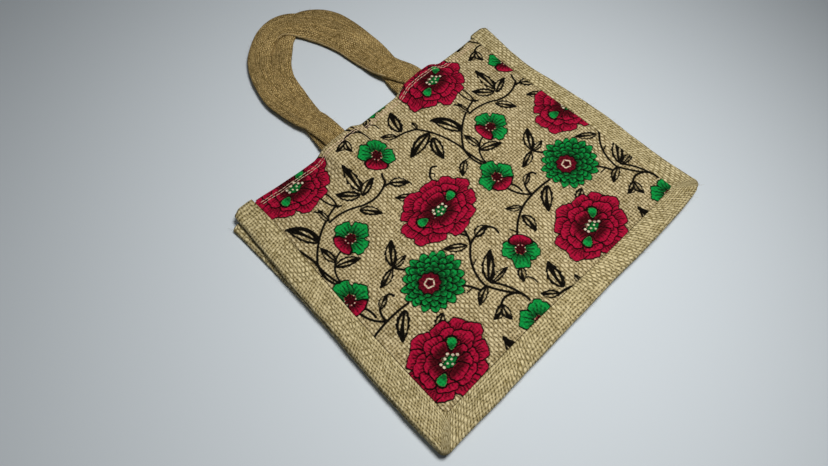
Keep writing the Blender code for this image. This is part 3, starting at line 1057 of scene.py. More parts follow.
# One repeat. The places of its motifs were read off the photograph, in millimetres.
PRINT_REPEAT = (
    # Vines and stems
    Stem(-80.5, 68, -120, 40, -4.5),
    Stem(-120, 40, -119.5, 17, -2.7),
    Stem(-92, 60.5, -65, 54.5, 2.2),
    Stem(-65, 54.5, -37, 58, -3.8),
    Stem(-37, 58, -34.5, 65, 0.6),
    Stem(-84, 83, -80.5, 69, -1.0, 1.5),
    Stem(-79.5, 85, -79.5, 66, 1.8, 1.5),
    Stem(-80, 69, -76.5, 65.5, -0.5),
    Stem(-99.5, 36.7, -113, 28.5, -1.5, 1.5),
    Stem(-113, 28.5, -116.5, 15, -1.2, 1.5),
    Stem(-76, -7, -81.5, 0.5, 0.3),
    Stem(59, -30, 28, -31, -1.2),
    Stem(28, -31, 3, -46.5, -2.2),
    Stem(6, -42.5, 3.5, -38, 0.0, 1.1),
    Stem(37.5, -28.5, 28.5, -12, 1.8),
    Stem(35, -22, 33.5, -12, -0.8),
    Stem(38.5, -28.5, 41, -19.5, 0.8),
    Stem(50, -15.5, 54.8, -19, 1.7),
    Stem(-28.5, -12, -23.5, -20.5, 0.5),
    Stem(-21.5, -12, -27.5, -27, 1.2),
    Stem(-27.5, -27, -42, -57, -4.2),
    Stem(-38, -39.5, -32.5, -37.5, 0.0, 1.1),
    Stem(-27, -26.5, -19, -24.3, 0.5),
    Stem(-7, -25, -4.5, -33.8, 1.8),
    Stem(-42, -56, -28, -77, -1.0),
    Stem(-37.5, -57, -27, -80, 1.8),
    Stem(-27.5, -77, -26.5, -85, 0.5),
    Stem(-31.5, -74, -45.5, -75, -2.8),
    Stem(-53.5, -45, -47, -56, 0.6),
    Stem(-50, -51, -55.5, -51, 0.0, 1.1),
    Stem(-3.5, 83.5, 15, 77.5, 1.5),
    Stem(15, 77.5, 28, 48, 2.0),
    Stem(28, 48, 29, 36, 0.6),
    Stem(29, 36, 32.5, 14, -0.7),
    Stem(29.5, 28, 22.5, 28.2, 0.4, 1.1),
    Stem(-8.5, 30, -5, 40, 2.2),
    Stem(-5, 40, 1.8, 40.2, 1.8),
    Stem(-6, 34, -6.5, 38, -2.0, 1.0),
    Stem(-17, -71, -12.5, -80, 1.8, 1.2),
    Stem(-40, 55, -35, 54.5, 0.0),
    Stem(-25, 47, -24, 41.5, 1.0, 1.1),
    Stem(-120.5, 77.5, -106.8, 55, 5.2, 2.3),
    Stem(-90, 72, -95, 75.5, 0.8, 1.5),
    # Leaves
    Leaf(-81, 0.5, -67, 17.8, 8.5, 1.0),
    Leaf(-82, 0, -99, -5.5, 6.5, 0.8),
    Leaf(-80.5, -0.5, -67, 1, 5.0, -0.4),
    Leaf(-96, -29.5, -113.5, -46, 9.0, -1.0),
    Leaf(25, -31.5, 13.5, -23.5, 5.0, 0.6),
    Leaf(19.5, -36, 17, -53, 8.0, 1.4),
    Leaf(41, -20, 52.5, -15, 5.5, 0.8),
    Leaf(-29, -25.5, -44.5, -14.5, 6.5, 0.6, 0.2),
    Leaf(-20, -24.5, -5.5, -24.5, 7.5, 1.4),
    Leaf(-38, -56, -18.5, -38.8, 9.0, 1.0),
    Leaf(-37, -58, -19, -57.5, 5.5, 0.5),
    Leaf(-41, -57, -56, -63.8, 6.5, -0.6),
    Leaf(-42.5, -74, -56, -77.5, 6.5, 1.5),
    Leaf(-43, -74.5, -46, -86.5, 6.5, -1.2),
    Leaf(-59.5, 62, -73.5, 76.5, 8.5, 1.0, 0.2),
    Leaf(-56.5, 63.5, -54, 91, 9.5, 0.0, 0.35),
    Leaf(-59, 60.5, -41, 67, 7.5, 1.2),
    Leaf(-68.5, 53, -57, 38, 7.5, 0.8),
    Leaf(-36, 55, -23.5, 44, 8.5, 0.6, 0.3),
    Leaf(-109, 53, -120.5, 78, 9.5, -1.5),
    Leaf(-91.5, 61.5, -91.5, 75.5, 5.0, 0.6),
    Leaf(-109, 31.5, -110.5, 49, 6.5, 0.4),
    Leaf(-112, 29.5, -93, 21.6, 7.5, 0.8),
    Leaf(-1.5, 84, -12, 93, 6.0, 0.6),
    Leaf(4, 84.5, 11, 106, 10.5, 1.4),
    Leaf(16, 77.5, 17.5, 86, 4.5, 0.4),
    Leaf(20.5, 67.5, -8, 60.2, 10.0, -0.6, 0.2),
    Leaf(19.5, 62.5, 11, 40.5, 9.5, -0.8),
    Leaf(23, 28.4, 10, 18.6, 6.5, -0.6, 0.25),
    Leaf(-30, 33, -41.5, 42, 6.5, 0.4, 0.25),
    Leaf(-78, -49.5, -92.5, -55.5, 7.0, 0.4, 0.3),
    Leaf(-12, -64, -20, -73.5, 6.5, -0.5),
    # Flowers
    Dahlia(-66.5, -27.7, 24.8, 0.91, 0.2, (-3.3, 0.7)),
    Peony(-24, 11, 34.0, 0.74, 0.15, ((-16, 3), (14.5, 5))),
    Peony(51.2, -77.6, 32.3, 0.8, 0.6, ((-12, -4.5), (9.5, 8.5))),
    Poppy(-27, 79.5, 225, 0.94),
    Poppy(-89, 39, 180, 0.94),
    Poppy(30, 0, 262, 0.94),
    Poppy(-2.5, -54.5, 45, 0.9),
)


def lay_print(x: Array, y: Array) -> Ink:
    """The whole print: one repeat, laid over and over.

    Args:
        x: Places on the flat cloth.
        y: The same places' other coordinate.

    Returns:
        The ink at those places.
    """
    ink = Ink(x, y)
    for motif in PRINT_REPEAT:
        for across in (-1, 0, 1):
            for down in (-1, 0, 1):
                move_x = across * REPEAT_ACROSS[0] + down * REPEAT_DOWN[0]
                move_y = across * REPEAT_ACROSS[1] + down * REPEAT_DOWN[1]
                moves = {"x": move_x, "y": move_y}
                if isinstance(motif, Stem):
                    moves |= {"to_x": move_x, "to_y": move_y}
                if isinstance(motif, Leaf):
                    moves |= {"tip_x": move_x, "tip_y": move_y}
                changes = {name: getattr(motif, name) + move for name, move in moves.items()}
                replace(motif, **changes).lay(ink)
    return ink


# Materials --------------------------------------------------------------------------------


def linear(code: str) -> tuple[float, float, float, float]:
    """The linear colour of an sRGB hex value, with alpha 1."""
    parts = [int(code[k : k + 2], 16) / 255 for k in (1, 3, 5)]
    return (*(p / 12.92 if p <= 0.04045 else ((p + 0.055) / 1.055) ** 2.4 for p in parts), 1.0)


Input = Union[bpy.types.Node, tuple, float, Sequence[float]]


def add_node(tree: bpy.types.NodeTree, kind: str, settings: dict, inputs: dict) -> bpy.types.Node:
    """Adds one node with its settings and links.

    Args:
        tree: The material's nodes.
        kind: The node's type.
        settings: Its properties.
        inputs: For each socket's name or number a node, a pair of node and output, or a value.

    Returns:
        The node.
    """
    node = tree.nodes.new(kind)
    for name, value in settings.items():
        setattr(node, name, value)
    for socket, value in inputs.items():
        if isinstance(value, bpy.types.Node):
            tree.links.new(value.outputs[0], node.inputs[socket])
        elif isinstance(value, tuple) and isinstance(value[0], bpy.types.Node):
            tree.links.new(value[0].outputs[value[1]], node.inputs[socket])
        else:
            node.inputs[socket].default_value = value
    return node


# Kinds of nodes
MATH = "ShaderNodeMath"
VECTOR = "ShaderNodeVectorMath"
MIX = "ShaderNodeMix"
RANGE = "ShaderNodeMapRange"
NOISE = "ShaderNodeTexNoise"
SPLIT = "ShaderNodeSeparateXYZ"
JOIN = "ShaderNodeCombineXYZ"
ATTRIBUTE = "ShaderNodeAttribute"
PRINCIPLED = "ShaderNodeBsdfPrincipled"
OUTPUT = "ShaderNodeOutputMaterial"

# Settings of nodes
ADD = {"operation": "ADD"}
SUBTRACT = {"operation": "SUBTRACT"}
MULTIPLY = {"operation": "MULTIPLY"}
MULTIPLY_ADD = {"operation": "MULTIPLY_ADD"}
SCALE = {"operation": "SCALE"}
RGBA = {"data_type": "RGBA"}
SMOOTH = {"interpolation_type": "SMOOTHSTEP"}


def new_material(name: str) -> bpy.types.Material:
    """A material with nodes and a cleared tree.

    Args:
        name: The material's name.

    Returns:
        The material.
    """
    material = bpy.data.materials.new(name)
    material.use_nodes = True
    material.node_tree.nodes.clear()
    return material


@dataclass(frozen=True)
class PlainWeave:
    """Jute hessian: thick uneven threads, one over and one under, with pits between them.

    The crowns have a painted highlight and the pits are painted nearly black (shade in the hollows and
    the darker cloth seen through them), so the cloth looks speckled.
    """

    name: str
    pitch: float  # from one thread to the next, as counted in the photograph's weave
    # Colour of the painted highlight on the threads' crowns
    crown: str
    thread: str
    old_thread: str
    # Colour in the pits: painted shade in the hollows, together with the darker cloth seen through them
    pit_shade: str
    relief: float  # how far a crown stands over a pit, in millimetres
    wander: float  # how far a thread strays, in millimetres
    lead: tuple[float, float] = (-0.2, 0.02)  # below 0 the threads along Y stand out, above it along X
    mottle: float = 0.32  # how much the fibres' own shade varies
    streak: float = 0.0  # how much the shade varies from one long line along X to the next
    printed: bool = False

    def build(self) -> bpy.types.Material:
        """Builds the material.

        Returns:
            The material.
        """
        material = new_material(self.name)
        tree = material.node_tree
        cloth = add_node(tree, ATTRIBUTE, {"attribute_name": "cloth"}, {})
        cloth = (cloth, "Vector")
        height, light, tone = self.weave(tree, cloth)
        colour = self.shaded_cloth_colour(tree, cloth, height, tone, light)
        if self.printed:
            colour = Print().build(tree, cloth, colour, height)
        grain = {"Scale": 2.6, "Detail": 3.0, "Roughness": 0.7}
        fibre = add_node(tree, NOISE, {}, {"Vector": cloth, **grain})
        relief = add_node(tree, MATH, MULTIPLY_ADD, {0: fibre, 1: 0.35, 2: height})
        rise = {"Height": relief, "Distance": self.relief * MM, "Strength": 1.0}
        bump = add_node(tree, "ShaderNodeBump", {}, rise)
        dry = {"Roughness": 0.9, "Specular IOR Level": 0.03}
        shader = add_node(tree, PRINCIPLED, {}, {"Base Color": colour, "Normal": bump, **dry})
        add_node(tree, OUTPUT, {}, {"Surface": shader})
        return material

    def weave(self, tree: bpy.types.NodeTree, cloth: Input) -> tuple:
        """The weave's height, the light on the thread that is on top, and its tone.

        Args:
            tree: The material's nodes.
            cloth: The place on the flat cloth, in millimetres.

        Returns:
            Three nodes, each from about 0 to 1.
        """
        bends = {"Scale": 0.16, "Detail": 4.0, "Roughness": 0.62}
        stray = add_node(tree, NOISE, {}, {"Vector": cloth, **bends})
        less = {0: (stray, "Color"), 1: (0.5, 0.5, 0.5)}
        stray = add_node(tree, VECTOR, SUBTRACT, less)
        stray = add_node(tree, VECTOR, SCALE, {0: stray, "Scale": self.wander})
        place = add_node(tree, VECTOR, ADD, {0: cloth, 1: stray})
        place = add_node(tree, VECTOR, SCALE, {0: place, "Scale": 1 / self.pitch})
        cell = add_node(tree, VECTOR, {"operation": "FLOOR"}, {0: place})
        part = add_node(tree, VECTOR, {"operation": "FRACTION"}, {0: place})
        part = add_node(tree, VECTOR, SUBTRACT, {0: part, 1: (0.5, 0.5, 0.5)})
        square = add_node(tree, VECTOR, MULTIPLY, {0: part, 1: part})
        crown = add_node(tree, VECTOR, MULTIPLY_ADD, {0: square, 1: (-4, -4, 0), 2: (1, 1, 0)})
        split = add_node(tree, SPLIT, {}, {0: place})
        other = add_node(tree, JOIN, {}, {0: (split, 1), 1: (split, 0)})
        phase = add_node(tree, VECTOR, ADD, {0: other, 1: cell})
        turn = {0: phase, 1: (math.pi,) * 3, 2: (-math.pi / 2,) * 3}
        phase = add_node(tree, VECTOR, MULTIPLY_ADD, turn)
        sway = add_node(tree, VECTOR, {"operation": "COSINE"}, {0: phase})
        sway = add_node(tree, VECTOR, MULTIPLY, {0: sway, 1: (0.28, -0.28, 0)})
        height = add_node(tree, VECTOR, MULTIPLY_ADD, {0: crown, 1: (1, 1, 0), 2: sway})
        height = add_node(tree, SPLIT, {}, {0: height})
        pull = add_node(tree, NOISE, {}, {"Vector": cloth, "Scale": 0.03, "Detail": 3.0})
        low, high = self.lead
        pull = add_node(tree, RANGE, {}, {0: pull, 1: 0.36, 2: 0.64, 3: low, 4: high})
        warp_height = add_node(tree, MATH, SUBTRACT, {0: (height, 0), 1: pull})
        weft_height = add_node(tree, MATH, ADD, {0: (height, 1), 1: pull})
        top = add_node(tree, MATH, {"operation": "MAXIMUM"}, {0: warp_height, 1: weft_height})
        warp_up = add_node(tree, MATH, {"operation": "GREATER_THAN"}, {0: warp_height, 1: weft_height})
        warp_light = add_node(tree, MATH, MULTIPLY_ADD, {0: pull, 1: -0.6, 2: 0.95})
        weft_light = add_node(tree, MATH, MULTIPLY_ADD, {0: pull, 1: 1.3, 2: 0.95})
        light = add_node(tree, MIX, {}, {"Factor": warp_up, 2: weft_light, 3: warp_light})
        crossing = add_node(tree, "ShaderNodeTexWhiteNoise", {}, {"Vector": cell})
        cell = add_node(tree, SPLIT, {}, {0: cell})
        along_warp = add_node(tree, MATH, MULTIPLY, {0: (split, 1), 1: 0.3})
        along_weft = add_node(tree, MATH, MULTIPLY, {0: (split, 0), 1: 0.3})
        warp = add_node(tree, JOIN, {}, {0: (cell, 0), 1: along_warp, 2: 3.7})
        weft = add_node(tree, JOIN, {}, {0: (cell, 1), 1: along_weft, 2: 91.3})
        thread = add_node(tree, MIX, {"data_type": "VECTOR"}, {"Factor": warp_up, 4: weft, 5: warp})
        spin = {"Scale": 0.83, "Detail": 2.0, "Roughness": 0.6}
        tone = add_node(tree, NOISE, {}, {"Vector": (thread, 1), **spin})
        tone = add_node(tree, MIX, {}, {"Factor": 0.25, 2: tone, 3: crossing})
        slub = add_node(tree, MATH, MULTIPLY_ADD, {0: tone, 1: 0.5, 2: -0.25})
        return add_node(tree, MATH, ADD, {0: top, 1: slub}), light, tone

    def shaded_cloth_colour(
        self, tree: bpy.types.NodeTree, cloth: Input, height: Input, tone: Input, light: Input
    ) -> tuple:
        """The bare cloth's colour, with a painted highlight on the crowns and painted shade in the
        pits.

        Args:
            tree: The material's nodes.
            cloth: The place on the flat cloth.
            height: The weave's height.
            tone: The thread's tone.
            light: How much light the thread on top catches.

        Returns:
            The node and output that give the colour.
        """
        tone = add_node(tree, RANGE, {}, {0: tone, 1: 0.34, 2: 0.66, 3: 0.0, 4: 1.0})
        threads = {"Factor": tone, 6: linear(self.old_thread), 7: linear(self.thread)}
        colour = add_node(tree, MIX, RGBA, threads)
        patch = add_node(tree, NOISE, {}, {"Vector": cloth, "Scale": 0.05, "Detail": 4.0})
        patch = add_node(tree, RANGE, {}, {0: patch, 1: 0.3, 2: 0.7, 3: 0.92, 4: 1.08})
        shade = add_node(tree, MATH, MULTIPLY, {0: patch, 1: light})
        speck = add_node(tree, NOISE, {}, {"Vector": cloth, "Scale": 1.0, "Detail": 3.0})
        dim, bright = 1 - self.mottle, 1 + self.mottle
        speck = add_node(tree, RANGE, {}, {0: speck, 1: 0.3, 2: 0.7, 3: dim, 4: bright})
        shade = add_node(tree, MATH, MULTIPLY, {0: shade, 1: speck})
        if self.streak:
            lines = add_node(tree, VECTOR, MULTIPLY, {0: cloth, 1: (0.03, 0.5, 0)})
            lines = add_node(tree, NOISE, {}, {"Vector": lines, "Scale": 1.0, "Detail": 2.0})
            low, high = 1 - self.streak, 1 + self.streak
            lines = add_node(tree, RANGE, {}, {0: lines, 1: 0.36, 2: 0.64, 3: low, 4: high})
            shade = add_node(tree, MATH, MULTIPLY, {0: shade, 1: lines})
        colour = add_node(tree, VECTOR, SCALE, {0: (colour, 2), "Scale": shade})
        # Painted highlight: towards the crown colour where the weave stands highest
        shine = add_node(tree, RANGE, SMOOTH, {0: height, 1: 0.95, 2: 1.45})
        shine = add_node(tree, MATH, MULTIPLY, {0: shine, 1: 0.8})
        colour = add_node(tree, MIX, RGBA, {"Factor": shine, 6: colour, 7: linear(self.crown)})
        # Painted shade: towards the pit colour where the weave lies low, for the hollows' shade and the
        # darker cloth seen through them
        dark = add_node(tree, RANGE, SMOOTH, {0: height, 1: 0.1, 2: 1.05})
        colour = add_node(tree, MIX, RGBA, {"Factor": dark, 6: linear(self.pit_shade), 7: (colour, 2)})
        return colour, 2


@dataclass(frozen=True)
class Print:
    """Screen-printed pigment on jute: matt, soft at its edges, with painted shade in the weave's pits
    and a faint painted highlight on its crowns.
    """

    red: str = "#AA0F36"
    dark_red: str = "#33050C"
    green: str = "#0C9240"
    dark_green: str = "#072E15"
    black: str = "#0B0907"
    pale: str = "#DCCFB4"

    def build(self, tree: bpy.types.NodeTree, cloth: Input, bare: Input, height: Input) -> tuple:
        """Lays the print over the bare cloth's colour.

        Args:
            tree: The material's nodes.
            cloth: The place on the flat cloth.
            bare: The bare cloth's colour, with its painted highlight and painted shade.
            height: The weave's height.

        Returns:
            The node and output that give the colour.
        """
        bleed = add_node(tree, NOISE, {}, {"Vector": cloth, "Scale": 0.9, "Detail": 2.0})
        bleed = add_node(tree, MATH, MULTIPLY_ADD, {0: bleed, 1: 0.4, 2: -0.24})
        # Painted shade and highlight: the ink is darkened in the weave's pits and lifted a little on
        # its crowns
        weave_relief_shading = add_node(tree, RANGE, {}, {0: height, 1: 0.2, 2: 1.2, 3: 0.6, 4: 1.05})
        worn = add_node(tree, RANGE, {}, {0: height, 1: 1.2, 2: 1.5, 3: 1.0, 4: 0.985})
        shade = add_node(tree, ATTRIBUTE, {"attribute_name": "shade"}, {})
        shade = (shade, "Fac")
        pairs = {
            Colour.RED: (self.red, self.dark_red),
            Colour.GREEN: (self.green, self.dark_green),
            Colour.CREAM: (self.pale, self.pale),
            Colour.BLACK: (self.black, self.black),
        }
        colour = bare
        for layer, (light, dark) in pairs.items():
            depth = add_node(tree, ATTRIBUTE, {"attribute_name": layer.value}, {})
            depth = add_node(tree, MATH, ADD, {0: (depth, "Fac"), 1: bleed})
            cover = add_node(tree, RANGE, {}, {0: depth, 1: 0.22, 2: -0.22, 3: 0.0, 4: 0.995})
            ink = add_node(tree, MIX, RGBA, {"Factor": shade, 6: linear(light), 7: linear(dark)})
            ink = add_node(tree, VECTOR, SCALE, {0: (ink, 2), "Scale": weave_relief_shading})
            cover = add_node(tree, MATH, MULTIPLY, {0: cover, 1: worn})
            mixed = add_node(tree, MIX, RGBA, {"Factor": cover, 6: colour, 7: ink})
            colour = (mixed, 2)
        return colour


@dataclass(frozen=True)
class SpunYarn:
    """Spun yarn or loose jute fibre: matt, with a little variation along it."""

    name: str
    colour: str
    dark: str
    grain: float = 0.9  # spots in a millimetre

    def build(self) -> bpy.types.Material:
        """Builds the material.

        Returns:
            The material.
        """
        material = new_material(self.name)
        tree = material.node_tree
        place = add_node(tree, "ShaderNodeNewGeometry", {}, {})
        grain = {"Scale": self.grain / MM, "Detail": 2.0}
        noise = add_node(tree, NOISE, {}, {"Vector": (place, "Position"), **grain})
        mixed = {"Factor": noise, 6: linear(self.dark), 7: linear(self.colour)}
        colour = add_node(tree, MIX, RGBA, mixed)
        shader = add_node(tree, PRINCIPLED, {}, {"Base Color": (colour, 2), "Roughness": 0.85})
        add_node(tree, OUTPUT, {}, {"Surface": shader})
        return material


@dataclass(frozen=True)
class CoatedBoard:
    """The studio's table: smooth coated board, matt and a little cool."""

    name: str = "coated_board"
    colour: str = "#CFD7DD"

    def build(self) -> bpy.types.Material:
        """Builds the material.

        Returns:
            The material.
        """
        material = new_material(self.name)
        tree = material.node_tree
        board = {"Base Color": linear(self.colour), "Roughness": 0.75}
        shader = add_node(tree, PRINCIPLED, {}, board)
        add_node(tree, OUTPUT, {}, {"Surface": shader})
        return material


# The printed front: the bare cloth between the flowers, a little greyer, with darker painted shade in
# its pits
PRINTED_HESSIAN = PlainWeave(
    "printed_jute_hessian",
    pitch=2.35,
    crown="#E3D5AC",
    thread="#C0AE84",
    old_thread="#98865C",
    pit_shade="#2E240C",
    relief=0.42,
    wander=3.6,
    printed=True,
)
# The same cloth without the print: straw yellow, with coarse uneven threads
HESSIAN = PlainWeave(
    "jute_hessian",
    pitch=2.35,
    crown="#E6D8AC",
    thread="#C4B487",
    old_thread="#9B8B5E",
    pit_shade="#3A2F14",
    relief=0.4,
    wander=3.6,
    lead=(-0.2, 0.06),
)
# The straps' finer, browner cloth, streaked along the strap
STRAP_HESSIAN = PlainWeave(
    "fine_jute_hessian",
    pitch=1.35,
    crown="#DEC38B",
    thread="#A98F5A",
    old_thread="#755E32",
    pit_shade="#1A1206",
    relief=0.4,
    wander=4.4,
    lead=(-0.12, 0.26),
    mottle=0.6,
    streak=0.25,
)
TOPSTITCH = SpunYarn("cotton_topstitch", "#E6CDB4", "#BE9C80")  # pale dashes that show most on the red
RAW_EDGE = SpunYarn("raw_jute_edge", "#C6B186", "#8C7648")  # a pale roll along the strap's edge
JUTE_FIBRE = SpunYarn("loose_jute_fibre", "#B99D66", "#7A6238")  # a soft blur at the edges


# The pieces -------------------------------------------------------------------------------


@dataclass
class Panel:
    """The front or the back: flat cloth, its hem at the mouth and its three turned-in edges."""

    name: str
    node: str
    outline: Outline
    facing: int
    height: Callable[[Array, Array], Array]
    mouth_extra: float
    columns: int
    rows: int
    step: int
    finish: PlainWeave
    slot: str
    printed: bool = False
    skirt: int = 4  # steps of a turned-in edge
    fold: int = 4  # steps round the fold at the mouth
    hem: int = 8  # steps of the hem

    def build(self) -> bpy.types.Object:
        """Builds and dresses the panel.

        Returns:
            The panel's object.
        """
        outer, cloth, kept = self.grid()
        grid = ThickGrid(outer, cloth, kept, self.step, CLOTH * self.facing)
        points, faces, flat = grid.build()
        panel = new_object(self.name, points, faces, flat)
        if self.printed:
            ink = lay_print(flat[:, 0], flat[:, 1])
            for colour, depth in ink.depth.items():
                set_layer(panel, colour.value, depth)
            set_layer(panel, "shade", ink.shade)
        panel.data.materials.append(self.finish.build())
        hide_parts(self.node)
        return panel

    def patch(self, across: Array, down: Array) -> tuple[Array, Array]:
        """The panel's flat part, seen from above.

        Args:
            across: From 0 at the left to 1 at the right.
            down: From 0 at the mouth to 1 at the bottom.

        Returns:
            The places' x and y.
        """
        inset = CLOTH / 2 + SEAM_HALF_GAP + SEAM_BEND
        x = between(-120.0, 120.0, across)
        y = between(110.0, -98.0, down)
        for _ in range(4):
            mouth = self.outline.mouth(x) + self.mouth_extra
            y = between(mouth, self.outline.bottom_seam(x) + inset, down)
            left = self.outline.left_seam(y) + inset
            x = between(left, self.outline.right_seam(y) - inset, across)
        return x, y

    def grid(self) -> tuple[Array, Array, Array]:
        """The outer face as one grid.

        Returns:
            The points, their places on the flat cloth, and which cells are cloth.
        """
        above = self.hem + self.fold
        row, col = np.meshgrid(
            np.arange(above + self.rows + 1 + self.skirt),
            np.arange(self.columns + 1 + 2 * self.skirt),
            indexing="ij",
        )
        x, y = self.patch(
            np.clip((col - self.skirt) / self.columns, 0, 1), np.clip((row - above) / self.rows, 0, 1)
        )
        past_left = np.maximum(self.skirt - col, 0)
        past_right = np.maximum(col - self.skirt - self.columns, 0)
        past_bottom = np.maximum(row - above - self.rows, 0)
        past_mouth = np.maximum(above - row, 0)
        flat_x, flat_y = x.copy(), y.copy()
        top = self.height(x, y)
        out, drop, length = self.turned_edge()
        sideways = past_right - past_left
        ring = np.maximum(np.abs(sideways), past_bottom)
        aim = np.stack([sideways, -past_bottom]).astype(float)
        aim /= np.maximum(np.hypot(*aim), 1)
        beside = (ring > 0) & (past_mouth == 0)
        x = x + np.where(beside, aim[0] * out[ring], 0)
        y = y + np.where(beside, aim[1] * out[ring], 0)
        z = top - self.facing * np.where(beside, drop[ring], 0)
        flat_x += np.where(beside, aim[0] * length[ring], 0)
        flat_y += np.where(beside, aim[1] * length[ring], 0)
        radius = (HEM_STEP + CLOTH) / 2
        angle = np.minimum(past_mouth, self.fold) * math.pi / self.fold
        depth = np.maximum(past_mouth - self.fold, 0) * HEM_DEPTH / self.hem
        over = past_mouth > 0
        hem_top = self.height(x, y - depth)
        y = np.where(over, y + radius * np.sin(angle) - depth, y)
        z = np.where(over, hem_top - self.facing * radius * (1 - np.cos(angle)), z)
        flat_y += np.where(over, radius * angle + depth, 0)
        row, col = row[:-1, :-1], col[:-1, :-1]
        beside_hem = (row < above) & ((col < self.skirt) | (col >= self.skirt + self.columns))
        return np.stack([x, y, z], -1), np.stack([flat_x, flat_y], -1), ~beside_hem

    def turned_edge(self) -> tuple[Array, Array, Array]:
        """The steps of a turned-in edge, from the face down and inwards.

        Returns:
            For each step how far out it is, how far down and how far along the cloth.
        """
        radius = SEAM_BEND + CLOTH / 2
        angles = np.linspace(0, math.pi / 2, self.skirt)
        corner = 2 / SEAM_SQUARENESS
        out = np.append(radius * np.sin(angles) ** corner, radius)
        drop = np.append(radius * (1 - np.abs(np.cos(angles)) ** corner), SEAM_TURN)
        length = np.append(radius * angles, radius * math.pi / 2 + SEAM_TURN - radius)
        return out, drop, length


